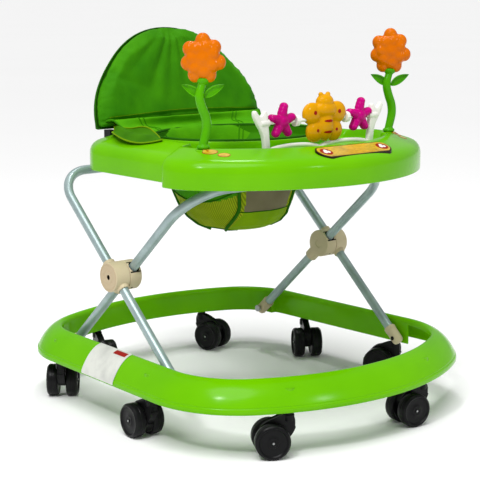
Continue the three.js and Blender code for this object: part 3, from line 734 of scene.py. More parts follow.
def hub_halves(side, s):
    """The hub: an outer drum on the rear frame, and an inner drum with a sleeve and a notch."""
    r = HUB_R
    width = HUB_HIGH.x - HUB_LOW.x
    out = along_axis((s * HUB_LOW.x, HUB_Y, HUB_Z), (s, 0, 0))
    drum = [(0.01, 0), (r - 0.9, 0), (r, 0.9), (r, width - 1.6), (r - 0.5, width - 0.5), (r - 1.6, width),
            (r - 3.4, width), (r - 3.8, width - 0.5), (r - 4.4, width - 0.5), (r - 4.8, width),
            (12, width), (11.6, width - 0.4), (11, width - 0.4), (10.6, width), (4.6, width),
            (4.1, width - 0.6), (4, width - 9), (0.01, width - 9)]
    outer = build(f"hub_drum_{side}", [lathe(drum, out, 64), sleeve(s * REAR_X, REAR_DIR, 20, 30),
                                       sleeve(s * REAR_X, REAR_DIR, -30, -20)], 28)
    finish_piece(outer, "rear_frame", "cream_plastic", f"hub_outer_{side}")
    outer.data.materials.append(LOOKS["beige_plastic"])
    outer.data.materials.append(LOOKS["painted_gap_shade"])
    for face in outer.data.polygons:
        centre = face.center / MM
        away = math.hypot(centre.y - HUB_Y, centre.z - HUB_Z)
        if abs(centre.x) > HUB_HIGH.x - 1.2 and away < r - 1.2:
            face.material_index = 1
        # the walls of the centre recess round the screw get painted shade
        if away < 4.05 and abs(centre.x) > HUB_HIGH.x - 10:
            face.material_index = 2
    screw = build(f"hub_screw_{side}", screw_head((s * (HUB_HIGH.x - 8.8), HUB_Y, HUB_Z), (s, 0, 0), 3.4))
    finish_piece(screw, "rear_frame", "pin_steel")
    inner_place = along_axis((s * 237.7, HUB_Y, HUB_Z), (-s, 0, 0))
    depth = 23.7
    drum = [(0.01, -2), (10, -2), (10, 0), (r - 0.9, 0), (r, 0.9), (r, depth - 2), (r - 0.6, depth - 0.6),
            (r - 2, depth), (8, depth), (7, depth - 1.2), (0.01, depth - 1.2)]
    inner = build(f"hub_cup_{side}", lathe(drum, inner_place, 64), 28)
    notch = build("cutter", sweep([on_leg(s * FRONT_X, FRONT_DIR, t) for t in (6, 20, 45)], 10.2, 24))
    cut(inner, notch)
    join(inner, build("ear", [sleeve(s * FRONT_X, FRONT_DIR, -44, -19, 11.6)], 28))
    finish_piece(inner, "front_frame", "cream_plastic", f"hub_inner_{side}")
    inner.data.materials.append(LOOKS["painted_gap_shade"])
    # the faces inside the notch where the front tube enters get painted shade
    for face in inner.data.polygons:
        centre = face.center / MM
        off = centre - on_leg(s * FRONT_X, FRONT_DIR, 0)
        t = off.dot(FRONT_DIR)
        if t > 5.5 and (off - FRONT_DIR * t).length < 10.4 and t < 30:
            face.material_index = 1
    # the four screw holes are thin dark discs of painted shade on the drum
    holes = []
    for angle in (50, 128, 232, 308):
        t = math.radians(angle)
        spot = Vector((s * 229, HUB_Y + (r - 0.5) * math.cos(t), HUB_Z + (r - 0.5) * math.sin(t)))
        outward = Vector((0, math.cos(t), math.sin(t)))
        holes.append(rod(spot, spot + outward * 0.9, 1.7, 16, 0.3))
    hole_shade_dots = build(f"hub_holes_{side}", holes)
    finish_piece(hole_shade_dots, "front_frame", "painted_gap_shade", slot="cream_plastic")


def sleeve(x, direction, start, end, r=10.4):
    a, b = on_leg(x, direction, start), on_leg(x, direction, end)
    length = abs(end - start)
    place = along_axis(a, b - a)
    return lathe([(TUBE_R + 0.1, 0.6), (r - 1, 0), (r, 1), (r + 0.2, length - 1), (r - 0.8, length),
                  (TUBE_R + 0.1, length - 0.6)], place, 40)


def screw_head(centre, axis, r):
    """A domed screw head with a cross recess suggested by two low bars."""
    place = along_axis(centre, axis)
    shapes = [lathe([(0.01, 0), (r, 0), (r, 0.6), (r * 0.8, 1.3), (r * 0.4, 1.6), (0.01, 1.7)], place, 24)]
    for turn in (0.4, 0.4 + math.pi / 2):
        spin = place @ Matrix.Rotation(turn, 4, "Z")
        bar = [(-r * 0.6, -0.35), (r * 0.6, -0.35), (r * 0.6, 0.35), (-r * 0.6, 0.35)]
        shapes.append(slab(bar, spin @ Matrix.Translation((0, 0, 1.2)), 0.8))
    return shapes


def foot_cap(name, body, x, direction, node):
    """A cream cap on a tube's end, with a rounded tip, a collar and a pin hole drawn as dark discs of painted
    shade.
    """
    base = on_leg(x, direction, -LEG - 11)
    place = along_axis(base, direction)
    profile = [(0.01, 0), (5.5, 0.2), (8.6, 1.6), (10, 4.6), (10.2, 8), (10.2, 27), (10.8, 28), (10.9, 33.5),
               (10.2, 34.6), (TUBE_R + 0.1, 34.9), (TUBE_R + 0.1, 20)]
    cap = build(name, lathe(profile, place, 40), 30)
    finish_piece(cap, body, "cream_plastic", node)
    at = on_leg(x, direction, -LEG)
    # the pin hole is two thin dark discs of painted shade
    pin_hole_shades = []
    for s in (-1, 1):
        start = at + Vector((s * 9.6, 0, 0))
        pin_hole_shades.append(rod(start, start + Vector((s * 0.9, 0, 0)), 4, 24, 0.3))
    hole = build(f"{name}_hole", pin_hole_shades)
    finish_piece(hole, body, "painted_gap_shade", slot="cream_plastic")


# ---- tray ----
def tray_outline():
    front_arc, corner, arm_half, arm_front, flare_end = 330, 90, 234, -92, -126
    chamfer_y, rear_half, rear_y = 130, 160, TRAY_HIGH.y
    front = TRAY_LOW.y + front_arc
    cx = TRAY_HALF - corner
    cy = front - math.sqrt((front_arc - corner) ** 2 - cx ** 2)
    turn = math.atan2(cx, front - cy)
    half = []
    for i in range(20):
        t = turn * i / 20
        half.append((front_arc * math.sin(t), front - front_arc * math.cos(t)))
    for i in range(21):
        t = turn + (math.pi / 2 - turn) * i / 20
        half.append((cx + corner * math.sin(t), cy - corner * math.cos(t)))
    for i in range(1, 25):
        t = i / 24
        ease = (1 - math.cos(math.pi * t)) / 2
        half.append((TRAY_HALF + (arm_half - TRAY_HALF) * ease, flare_end + 8 + (arm_front - flare_end) * t))
    for i in range(1, 10):
        half.append((arm_half, arm_front + 8 + (chamfer_y - 20 - arm_front) * i / 10))
    rear = chaikin([(arm_half, chamfer_y - 20), (arm_half - 1, chamfer_y + 2),
                    ((arm_half + rear_half) / 2 + 5, (chamfer_y + rear_y) / 2 + 5),
                    (rear_half + 8, rear_y - 16), (rear_half - 22, rear_y), (rear_half / 3, rear_y)],
                   3, closed=False)
    half += [(p.x, p.y) for p in (Vector(q).to_3d() if len(q) == 2 else Vector(q) for q in rear)]
    half += [(rear_half / 5, rear_y)]
    other = [(-x, y) for x, y in reversed(half[1:])]
    return half + other


def tray_loops(section):
    middle = Vector((0, -20))
    outline = tray_outline()
    loops = []
    for inset, up in section:
        loop = []
        for x, y in outline:
            away = Vector((x, y)) - middle
            at = middle + away * (1 - inset / away.length)
            loop.append((at.x, at.y, TRAY_Z + up))
        loops.append(loop)
    return loops


def oval_points(a, b, z, n=96, y=SEAT_Y):
    return [(a * math.cos(TAU * k / n), y + b * math.sin(TAU * k / n), z) for k in range(n)]


def tray():
    outside = [(1.6, 0), (0.4, 0.4), (0, 1.6), (0, 26), (0.6, 32), (2.6, 37), (6.2, 41.6), (11, 45),
               (17, 47.4), (30, 51.5), (44, 56), (51, 58.2), (56, 59), (60, 58.4), (64, 55), (67, 49),
               (69, 45.4), (73, 44)]
    inside = [(3.5, -6), (3.5, 26), (5, 34), (9.5, 39), (17, 43), (30, 47), (44, 51), (54, 54), (60, 52),
              (63, 46), (66, 41.2), (72, 40.5)]
    shell = build("tray_shell", loft(tray_loops(outside)), 30)
    cut(shell, build("cutter", loft(tray_loops(inside))))
    cut(shell, build("cutter", loft([oval_points(SEAT_A, SEAT_B, 380), oval_points(SEAT_A, SEAT_B, 500)])))
    collar = []
    for grow, up in ((5, 24), (5, 52), (4.6, 55.6), (3.6, 57.6), (2, 58), (0.6, 57.2), (0, 55.4), (0, 24),
                     (2.5, 23)):
        collar.append(oval_points(SEAT_A + grow, SEAT_B + grow, TRAY_Z + up))
    shapes = [loft(collar, closed=True)]
    for side, _ in SIDES:
        x, y, _ = joint_at(f"flower_turn_{side}")
        boss = [(8.6, 30), (14, 30), (14, 55), (13.2, 57), (12, 57.8), (9.6, 57.8), (8.6, 57), (8.6, 40)]
        shapes.append(lathe(boss, Matrix.Translation((x, y, TRAY_Z)), 48))
    join(shell, build("tray_inner_parts", shapes, 30))
    shade(shell, 32)
    shell.name = "tray_moulding"
    finish_piece(shell, "tray", "green_plastic", "tray")
    for side, _ in SIDES:
        keep_node(f"tray_clip_{side}", "green_plastic")
        keep_node(f"slide_rib_{side}", "green_plastic")
        keep_node(f"backrest_bracket_{side}", "black_plastic", 1.0)


# ---- seat pouch ----
POUCH_LEVELS = ((465, 156, 124, 15), (452, 155, 123, 15), (440, 148, 117, 16), (412, 132, 109, 21),
                (392, 123, 103, 24), (368, 115, 96, 23), (345, 106, 88, 21), (326, 95, 78, 19),
                (312, 80, 65, 17), (303, 60, 47, 16), (300, 38, 29, 16), (299, 14, 10, 16))
POUCH_Y = 18
LEG_HOLES = ((-42, 14), (42, 14))
LEG_R = 27


def pouch_point(t, level):
    """A point of the pouch at an angle and a level that may be fractional, with soft folds."""
    i = min(int(level), len(POUCH_LEVELS) - 2)
    k = level - i
    z, a, b, y = (p + (q - p) * k for p, q in zip(POUCH_LEVELS[i], POUCH_LEVELS[i + 1]))
    loose = min(1, max(0, (440 - z) / 60)) * min(1, max(0, (z - 300) / 20))
    spot = Vector((math.cos(t) * 2.2, math.sin(t) * 2.2, z * 0.004))
    fold = noise.noise(spot * 1.6) * 5 + math.sin(t * 11 + z * 0.02) * 0.9 + noise.noise(spot * 5) * 1.8
    sag = 2.2 * math.sin(3 * t + 0.6)
    grow = loose * (fold * 0.7 + sag)
    return Vector(((a + grow) * math.cos(t), y + (b + grow) * math.sin(t), z + loose * fold * 0.25))


def pouch_level(z):
    for i in range(len(POUCH_LEVELS) - 1):
        z0, z1 = POUCH_LEVELS[i][0], POUCH_LEVELS[i + 1][0]
        if z0 >= z >= z1:
            return i + (z0 - z) / (z0 - z1)
    return len(POUCH_LEVELS) - 1


FRONT_SEAM = math.radians(237)
REAR_SEAM = math.radians(150)


def seam_lean(z):
    """How far the side panel's seams have curved in towards each other at a height."""
    return 0.45 * max(0, (352 - z) / 50) ** 2


def side_depth(t, z):
    """How far along the side panel an angle is, 0 at the rear seam and 1 at the front seam, or None."""
    rear, front = REAR_SEAM + seam_lean(z), FRONT_SEAM - seam_lean(z)
    for angle in (t % TAU, (math.pi - t) % TAU):
        k = (angle - rear) / (front - rear)
        if 0 <= k <= 1:
            return k
    return None


def band_border(k):
    """Height of the curved lower edge of the side panel's green band."""
    return 380 - 24 * math.sin(math.pi * k) ** 0.8


def seat_pouch():
    around, rows = 216, 84
    loops = []
    for j in range(rows + 1):
        level = (len(POUCH_LEVELS) - 1) * j / rows
        loops.append([pouch_point(TAU * k / around, level) for k in range(around)])
    points, faces = loft(loops, caps=False)
    faces.append(tuple(range(rows * around, (rows + 1) * around)))
    pouch = build("seat_fabric", (points, faces), 60)
    thicken(pouch, 2.2)
    apply_modifiers(pouch)
    for x, y in LEG_HOLES:
        cut(pouch, build("cutter", rod((x, y, 270), (x, y, 335), LEG_R, 64)))
    shade(pouch, 60)
    finish_piece(pouch, "tray", "green_fabric", "seat_pouch")
    for look in ("mesh_fabric", "taupe_fabric", "lime_fabric", "dark_fabric"):
        pouch.data.materials.append(LOOKS[look])
    for face in pouch.data.polygons:
        at = face.center / MM
        t = math.atan2(at.y - POUCH_Y, at.x) % TAU
        k = side_depth(t, at.z)
        outward = Vector((at.x, at.y - POUCH_Y, 0)).dot(face.normal) > 0 or at.z < 310
        if not outward or at.z > 432:
            continue
        if k is not None and at.z < band_border(k):
            face.material_index = 1
        elif k is None and math.sin(t) < 0:
            face.material_index = 2 if 339 < at.z < 400 else 3 if at.z <= 339 else 0
    pouch_trim()


def pouch_trim():
    """Cords sewn along the pouch's seams, bands and leg holes, and thread lines beside them."""
    cords = []
    for mirror in (1, -1):
        def place(t, z, grow=0.6):
            p = pouch_point(t if mirror > 0 else math.pi - t, pouch_level(z))
            out = Vector((p.x, p.y - POUCH_Y, 0)).normalized()
            return p + out * grow
        for seam in (FRONT_SEAM, REAR_SEAM):
            way = -1 if seam == FRONT_SEAM else 1
            route = []
            for j in range(41):
                z = 432 - (432 - 303) * j / 40
                route.append(place(seam + way * seam_lean(z), z))
            cords.append(sweep(route, 3.1, 10))
        border = []
        for j in range(37):
            k = j / 36
            border.append(place(REAR_SEAM + (FRONT_SEAM - REAR_SEAM) * k, band_border(k)))
        cords.append(sweep(border, 1.3, 8))
        cords.append(sweep([p + Vector((0, 0, 5)) for p in border], 0.45, 6))
    for z, r in ((400, 1.0), (339, 0.8)):
        route = []
        for j in range(33):
            t = FRONT_SEAM + (3 * math.pi - FRONT_SEAM - FRONT_SEAM) * j / 32
            p = pouch_point(t, pouch_level(z))
            route.append(p + Vector((p.x, p.y - POUCH_Y, 0)).normalized() * 0.6)
        cords.append(sweep(route, r, 8))
    trim = build("seat_piping", cords, 60)
    finish_piece(trim, "tray", "dark_fabric", slot="green_fabric")
    rings = []
    for x, y in LEG_HOLES:
        rim = []
        for k in range(64):
            t = TAU * k / 64
            spot = Vector((x + LEG_R * math.cos(t), y + LEG_R * math.sin(t), 0))
            rim.append(Vector((spot.x, spot.y, floor_height(spot.x, spot.y) + 1.1)))
        rings.append(ring_sweep(rim, 2.6, 12))
    binding = build("leg_hole_binding", rings, 60)
    finish_piece(binding, "tray", "dark_fabric", slot="green_fabric")
    edge = oval_points(SEAT_A - 4.5, SEAT_B - 4.5, 466.4, 128)
    rim = build("seat_rim_binding", ring_sweep(edge, 2.8, 12), 60)
    finish_piece(rim, "tray", "dark_fabric", slot="green_fabric")
    return [trim, binding, rim]


def floor_height(x, y):
    """Height of the pouch's floor under a point."""
    for (z0, a0, b0, y0), (z1, a1, b1, y1) in zip(POUCH_LEVELS, POUCH_LEVELS[1:]):
        r0 = math.hypot(x / a0, (y - y0) / b0)
        r1 = math.hypot(x / a1, (y - y1) / b1)
        if r0 <= 1 <= r1:
            return z0 + (z1 - z0) * min(1, (1 - r0) / max(1e-9, r1 - r0))
    return POUCH_LEVELS[-1][0]


# ---- backrest ----
BACK_UP = Vector((0, math.sin(BACK_LEAN), math.cos(BACK_LEAN)))
BACK_FRONT = Vector((0, -math.cos(BACK_LEAN), math.sin(BACK_LEAN)))


def on_back(x, h, d):
    """A point of the backrest: across, up its plane, and forward of the plane."""
    return Vector((x, BACK_Y, BACK_Z_LINE)) + BACK_UP * h + BACK_FRONT * d


BACK_Z_LINE = 470


def back_outline(shrink=0.0, steps=14):
    """The dome of the backrest as points (across, up), drawn in by a distance."""
    half, tall = BACK_HALF - shrink, BACK_TALL - shrink

    def bezier(p0, p1, p2, p3):
        made = []
        for i in range(steps):
            t = i / steps
            u = 1 - t
            made.append(tuple(u ** 3 * a + 3 * u * u * t * b + 3 * u * t * t * c + t ** 3 * d
                              for a, b, c, d in zip(p0, p1, p2, p3)))
        return made

    side = bezier((half, shrink), (half * 1.01, tall * 0.25), (half * 0.925, tall * 0.44),
                  (half * 0.72, tall * 0.66))
    side += bezier((half * 0.72, tall * 0.66), (half * 0.6, tall * 0.79), (half * 0.38, tall), (0, tall))
    other = [(-x, y) for x, y in reversed(side)]
    return side + [(0, tall)] + other


def back_slab(name, shrink, low, high, edge):
    place = Matrix.Translation(on_back(0, 0, low)) @ Matrix(
        ((1, 0, 0), (0, BACK_UP.y, BACK_FRONT.y), (0, BACK_UP.z, BACK_FRONT.z))).to_4x4()
    return build(name, slab(back_outline(shrink), place, high - low, edge), 40)


def simulate_padding(obj, cap=9):
    """Blows the pad up a little as cloth, and keeps each point within a cap of where it began."""
    before = [v.co.copy() for v in obj.data.vertices]
    puff = obj.modifiers.new("puff", "CLOTH")
    puff.settings.use_pressure = True
    puff.settings.uniform_pressure_force = 4
    puff.settings.effector_weights.gravity = 0
    puff.settings.quality = 5
    for number in range(1, 21):
        bpy.context.scene.frame_set(number)
    graph = bpy.context.evaluated_depsgraph_get()
    blown = obj.evaluated_get(graph).data
    after = [v.co.copy() for v in blown.vertices]
    obj.modifiers.clear()
    bpy.context.scene.frame_set(1)
    for v, a, b in zip(obj.data.vertices, before, after):
        outward = (b - a).dot(BACK_FRONT)
        move = BACK_FRONT * outward + (b - a - BACK_FRONT * outward) * 0.2
        if move.length > cap * MM:
            move *= cap * MM / move.length
        v.co = a + move


SEAM_H = 14
PANEL_SEAMS = (-108, -36, 36, 108)
CREASES = ((-6, 168, -66, 64, 3.4, 8), (4, 172, -26, 60, 4.2, 9), (14, 172, 10, 52, 3.6, 8),
           (24, 168, 62, 70, 3.0, 9), (-30, 160, -120, 84, 2.6, 10), (40, 158, 118, 76, 2.4, 10),
           (-150, 92, -60, 60, 2.2, 12), (-20, 176, -8, 150, 3.0, 5), (8, 178, 16, 148, 3.2, 5))


def crease_depth(x, h):
    """How deep the drape creases run at a spot of the backrest."""
    depth = 0
    for x0, h0, x1, h1, deep, wide in CREASES:
        ax, ah = x1 - x0, h1 - h0
        length = math.hypot(ax, ah)
        k = ((x - x0) * ax + (h - h0) * ah) / length ** 2
        off = abs((x - x0) * ah - (h - h0) * ax) / length
        spread = wide * (0.5 + 0.9 * max(0, min(1, k)))
        fade = max(0, min(1, (k + 0.15) / 0.3)) * max(0, min(1, (1.25 - k) / 0.6))
        bow = math.sin(k * 3) * 3
        depth += deep * fade * math.exp(-((off + bow * 0.3) / spread) ** 2)
    return depth


def seam_depth(x, h):
    """The sewn line across the backrest and the seams of the lower band."""
    line = SEAM_H + 3 * math.cos(x / 60)
    depth = 3.2 * math.exp(-((h - line) / 2.6) ** 2)
    if h < line:
        for seam in PANEL_SEAMS:
            depth = max(depth, 2.8 * math.exp(-((x - seam) / 2.6) ** 2))
    return depth


def drape(obj):
    """Moves the front of the pad into its crown, creases and seams."""
    for v in obj.data.vertices:
        rel = v.co / MM - Vector((0, BACK_Y, BACK_Z_LINE))
        x, h, d = rel.x, rel.dot(BACK_UP), rel.dot(BACK_FRONT)
        front = max(0, min(1, (d - 4) / 6))
        puffs = noise.noise(Vector((x / 46, h / 60, 0.3))) * 2.2
        puffs += noise.noise(Vector((x / 17, h / 30, 2))) * 0.9
        lower = 0
        if h < SEAM_H:
            k = (x - PANEL_SEAMS[0]) / (PANEL_SEAMS[1] - PANEL_SEAMS[0])
            lower = 1.8 * abs(math.sin(math.pi * k)) * min(1, (SEAM_H - h) / 12)
        move = front * (puffs + lower - crease_depth(x, h) - seam_depth(x, h))
        d = max(0.4, d + move)
        v.co = on_back(x, h, d) * MM


def backrest():
    pad = back_slab("backrest_pad", 2, 0.6, 15, 2.5)
    remesh = pad.modifiers.new("remesh", "REMESH")
    remesh.mode = "VOXEL"
    remesh.voxel_size = 4.5 * MM
    apply_modifiers(pad)
    simulate_padding(pad)
    finer = pad.modifiers.new("finer", "SUBSURF")
    finer.levels = finer.render_levels = 1
    apply_modifiers(pad)
    drape(pad)
    pad.data.shade_smooth()
    finish_piece(pad, "tray", "green_fabric", "backrest_cushion")
    board = back_slab("backrest_back_panel", 2, -6.2, -0.3, 2)
    finish_piece(board, "tray", "dark_fabric", "backrest_board", slot="green_fabric")
    edge = [on_back(x, h, 0.6) for x, h in back_outline(1.5)]
    piping = build("backrest_piping", ring_sweep(edge, 1.4, 12), 60)
    finish_piece(piping, "tray", "dark_fabric", slot="green_fabric")
    threads = []
    for offset in (5, -5):
        for i in range(-40, 40):
            x0, x1 = i * 4.2, i * 4.2 + 2.8
            row = []
            for x in (x0, (x0 + x1) / 2, x1):
                h = SEAM_H + 3 * math.cos(x / 60) + offset
                row.append(on_back(x, h, pad_height(pad, x, h) + 0.15))
            threads.append(sweep(row, 0.5, 6))
    stitches = build("backrest_stitches", threads, 60)
    finish_piece(stitches, "tray", "lime_fabric", slot="green_fabric")


def back_drape():
    """The sheet that runs from the backrest's sewn line down over the tray's rear rim into the seat."""
    columns, rows = 72, 30
    grid = []
    for j in range(rows + 1):
        k = j / rows
        row = []
        for c in range(columns + 1):
            v = c / columns * 2 - 1
            x = v * (174 - 52 * k ** 1.3)
            top = on_back(x, SEAM_H - 3, 15.5)
            reach = math.sqrt(max(0, 1 - (v * 122 / (SEAT_A - 6)) ** 2))
            rim_y = SEAT_Y + (SEAT_B - 7) * reach
            route = smooth_path([top, (x, top.y - 12, 487), (x, (top.y + rim_y) / 2 + 6, 473),
                                 (x, rim_y + 1, 469.5), (x, rim_y - 9, 455), (x, rim_y - 15, 428)], 6)
            p = route[round(k * (len(route) - 1))]
            fold = 1.4 * math.sin(v * 13 + 1) * math.sin(math.pi * k)
            fold += 1.1 * noise.noise(Vector((v * 6, k * 3, 1)))
            row.append(Vector((p.x, p.y - fold, p.z + abs(fold) * 0.4)))
        grid.append(row)
    drape_sheet = apply_modifiers(woven_sheet("seat_back_drape", grid, 1.6))
    # the drape gets the brightened seat_fabric, painted light against the shade it sits in
    finish_piece(drape_sheet, "tray", "seat_fabric", slot="green_fabric")
    seams = []
    for at in (0.16, 0.19, 0.81, 0.84):
        c = round(at * columns)
        seams.append(sweep([row[c] + Vector((0, -0.4, 0.4)) for row in grid], 0.9, 8))
    for c in (0, columns):
        seams.append(sweep([row[c] for row in grid], 1.8, 8))
    seams.append(sweep(grid[0], 1.0, 8))
    seams_piece = build("seat_back_seams", seams, 60)
    finish_piece(seams_piece, "tray", "green_fabric")


def pad_height(pad, x, h):
    """How far the pad's front stands forward at a spot, by a ray from the front."""
    start = on_back(x, h, 60) * MM
    hit, spot, _, _ = pad.ray_cast(start, -BACK_FRONT)
    return (spot / MM - Vector((0, BACK_Y, BACK_Z_LINE))).dot(BACK_FRONT) if hit else 10


def loose_flap():
    """A leaf-shaped fabric strap end lying over the right arm of the tray beside the backrest."""
    spine = smooth_path([(-164, 158, 473), (-178, 122, 470), (-189, 80, 467.5), (-190, 34, 467),
                         (-183, -2, 468)], 7)
    n = len(spine) - 1
    top = []
    columns = 12
    for i, p in enumerate(spine):
        k = i / n
        width = 2.5 + 25 * math.sin(math.pi * min(1, k * 0.94 + 0.04))
        row = []
        for c in range(columns + 1):
            v = c / columns * 2 - 1
            ruffle = 2.6 * math.sin(k * 9 + v * 2) + (5 + 4 * math.sin(v * 5 + k * 3)) * math.sin(math.pi * k)
            z = p.z + ruffle + v * width * 0.24
            row.append(Vector((p.x + v * width, p.y + v * 8, z)))
        top.append(row)
    flap = woven_sheet("strap_flap", top, 1.4)
    finer = flap.modifiers.new("finer", "SUBSURF")
    finer.levels = finer.render_levels = 1
    apply_modifiers(flap)
    finish_piece(flap, "tray", "flap_fabric", slot="green_fabric")
    outline = [row[0] for row in top] + [row[-1] for row in reversed(top)]
    hem = build("strap_flap_hem", ring_sweep(outline, 1.3, 8), 70)
    finish_piece(hem, "tray", "lime_fabric", slot="green_fabric")


# ---- flowers ----
def leaf(root, tip, wide, lift):
    """A pointed leaf with a raised rim and a sunken middle."""
    root, tip = Vector(root), Vector(tip)
    along = tip - root
    n = 14
    ring = [(-1, 0), (-0.92, 2.2), (-0.7, 2.2), (-0.58, -0.6), (0, -1.2), (0.58, -0.6), (0.7, 2.2),
            (0.92, 2.2), (1, 0), (0.6, -2.8), (0, -3.4), (-0.6, -2.8)]
    side = along.cross(Vector((0, 1, 0))).normalized()
    loops = []
    for i in range(n + 1):
        k = i / n
        half = max(0.4, wide * math.sin(math.pi * k ** 0.8) ** 0.8)
        centre = root + along * k + Vector((0, 0, lift * math.sin(math.pi * k * 0.6)))
        loops.append([centre + side * a * half + Vector((0, -d * min(1, half / 3), 0)) for a, d in ring])
    return loft(loops)


def flowers():
    for side, _ in SIDES:
        x, y, _ = joint_at(f"flower_turn_{side}")
        head_low, head_high = mm_box(f"flower_head_{side}")
        head = (head_low + head_high) / 2
        route = smooth_path([(x, y, 468), (x, y, 474), (x + 4, y, 486), (x + 7, y, 500), (x + 5, y, 515),
                             (x - 2, y, 530), (x - 7, y, 545), (x - 6, y, 556), (x - 2, y, 566),
                             (x, y, 572)], 5)
        last = len(route) - 1
        radii = [6.4 + 1.5 * math.sin(math.pi * i / last) - 0.9 * i / last for i in range(last + 1)]
        shapes = [sweep(route, radii, 24),
                  lathe([(0.01, 438), (7, 438), (8, 440), (8, 467), (10, 467.6), (10.4, 468.4), (10.4, 470.4),
                         (9.4, 471.6), (6.5, 473), (0.01, 473)], Matrix.Translation((x, y, 0)), 40),
                  lathe([(0.01, 566), (5, 566), (9.4, 569), (11, 572.5), (11, 575), (9, 577), (0.01, 577)],
                        Matrix.Translation((x, y, 0)), 40)]
        stem = moulded(f"flower_stalk_{side}", shapes, 1.1, 3)
        turn = Matrix.Translation((x, y, 0)) @ Matrix.Rotation(math.radians(-40), 4, "Z")
        leaves = []
        for way in (-1, 1):
            points, faces = leaf((way * 1, -1, 547), (way * 33, -1, 563), 7.2, 3)
            leaves.append(([turn @ Vector(p) for p in points], faces))
        join(stem, build("leaves", leaves, 50))
        finish_piece(stem, f"flower_{side}", "leaf_plastic", f"flower_stem_{side}", slot="green_plastic")
        petals = [ellipsoid(0, 0, 0, 27, 15, 31)]
        for i in range(7):
            t = TAU * (i + 0.08 * math.sin(5 * i)) / 7
            far = 25.5 + 1.2 * math.sin(3 * i + 1)
            petals.append(ellipsoid(far * 0.93 * math.sin(t), 0, far * 1.06 * math.cos(t), 11.8, 10.5, 12.4))
            petals.append(ellipsoid(15 * math.sin(t + 0.3), -7.5, 18 * math.cos(t + 0.3), 11.5, 7, 11.5))
        petals.append(ellipsoid(0, -8, 0, 11, 8, 12))
        place = Matrix.Translation(head) @ Matrix.Rotation(math.radians(-40), 4, "Z")
        placed = [([place @ Vector(p) for p in points], faces) for points, faces in petals]
        blossom = moulded(f"flower_blossom_{side}", placed, 1.2, 16)
        finish_piece(blossom, f"flower_{side}", "orange_plastic", f"flower_head_{side}")


# ---- toys ----
def toy_posts():
    shapes = []
    foot = mm_box("toy_frame")[0].z
    for _, s in SIDES:
        blade = [(-6, foot), (6, foot), (7, foot + 22), (12, foot + 38), (21, foot + 50), (28, foot + 62),
                 (28.5, foot + 71), (24, foot + 73), (19.5, foot + 66), (14, foot + 62), (9, foot + 66),
                 (5, foot + 71.5), (0.5, foot + 68), (-1, foot + 52), (-3.5, foot + 30)]
        outline = [(s * (115 + p.x), p.y) for p in chaikin([(a, b) for a, b in blade], 2)]
        if s < 0:
            outline.reverse()
        shapes.append(slab(outline, upright(0, TOY_Y + 4.2), 8.4, 1.6))
        shapes.append(rod((s * 130, TOY_Y, TOY_Z), (s * 111, TOY_Y, TOY_Z), 6.2, 32, 1.2))
        hump = []
        for i in range(25):
            t = math.pi * i / 24
            hump.append((s * 115 / 2 * (1 - math.cos(t)), TOY_Y, foot + 3.6 + 9.4 * math.sin(t)))
        shapes.append(sweep(hump, 3.6, 20))
    frame_piece = build("toy_arch", shapes, 34)
    finish_piece(frame_piece, "tray", "white_plastic", "toy_frame")
    keep_node("toy_bar", "white_plastic", 0.6)
    for side, _ in SIDES:
        keep_node(f"spacer_ring_{side}", "white_plastic", 1.2)


def star_toys():
    for side, _ in SIDES:
        low, high = mm_box(f"star_toy_{side}")
        x = (low.x + high.x) / 2
        shapes = [ellipsoid(x, TOY_Y, TOY_Z, 13.5, 10, 13)]
        for i in range(5):
            t = TAU * i / 5
            lean = 0.18 if i == 0 else 0
            for k, r in ((12, 8.4), (17, 7.4), (22, 6.6)):
                reach = k * (1.12 if i == 0 else 1)
                angle = t + lean * k / 22
                shapes.append(ellipsoid(x + reach * math.sin(angle), TOY_Y, TOY_Z + reach * math.cos(angle),
                                        r, 8.2, r, 20, 12))
        star = moulded(f"starfish_{side}", shapes, 1.0, 4)
        cut(star, build("cutter", rod((x - 40, TOY_Y, TOY_Z), (x + 40, TOY_Y, TOY_Z), 3.8, 32)))
        star.data.shade_smooth()
        finish_piece(star, f"star_{side}", "magenta_plastic", f"star_toy_{side}")


def butterfly():
    low, high = mm_box("butterfly_toy")
    x = (low.x + high.x) / 2
    wings = [(-27, 9, 21, 18.5), (27, 9, 21, 18.5), (-21, -20, 19, 18), (21, -20, 19, 18)]
    shapes = [ellipsoid(x + dx, TOY_Y, TOY_Z + dz, a, 8.5, c) for dx, dz, a, c in wings]
    shapes.append(ellipsoid(x, TOY_Y - 1, TOY_Z - 10, 16, 13, 27))
    shapes.append(ellipsoid(x, TOY_Y - 1.5, TOY_Z + 15, 23, 13.5, 15))
    shapes.append(ellipsoid(x, TOY_Y - 1, TOY_Z + 27, 17, 12, 13))
    for way in (-1, 1):
        shapes.append(sweep([(x + way * 6, TOY_Y, TOY_Z + 32), (x + way * 7.6, TOY_Y, TOY_Z + 38)], 2.6, 14))
        shapes.append(ellipsoid(x + way * 8, TOY_Y, TOY_Z + 39.4, 4.2, 4.2, 4.2, 16, 10))
    body = moulded("butterfly_body", shapes, 1.1, 4)
    cut(body, build("cutter", rod((x - 60, TOY_Y, TOY_Z), (x + 60, TOY_Y, TOY_Z), 3.8, 32)))
    body.data.shade_smooth()
    finish_piece(body, "butterfly", "yellow_plastic", "butterfly_toy")
    marks = []
    for dx, dz, r in ((-27, 11, 3.4), (27, 11, 3.4), (-21, -18, 2.6), (21, -18, 2.6)):
        marks.append(print_patch(body, x + dx, TOY_Z + dz, r, r))
    for dz in (-3, -21):
        marks.append(print_patch(body, x, TOY_Z + dz, 9.5, 2.2))
    spots = build("butterfly_marks", marks, 60)
    finish_piece(spots, "butterfly", "red_print", slot="magenta_plastic")


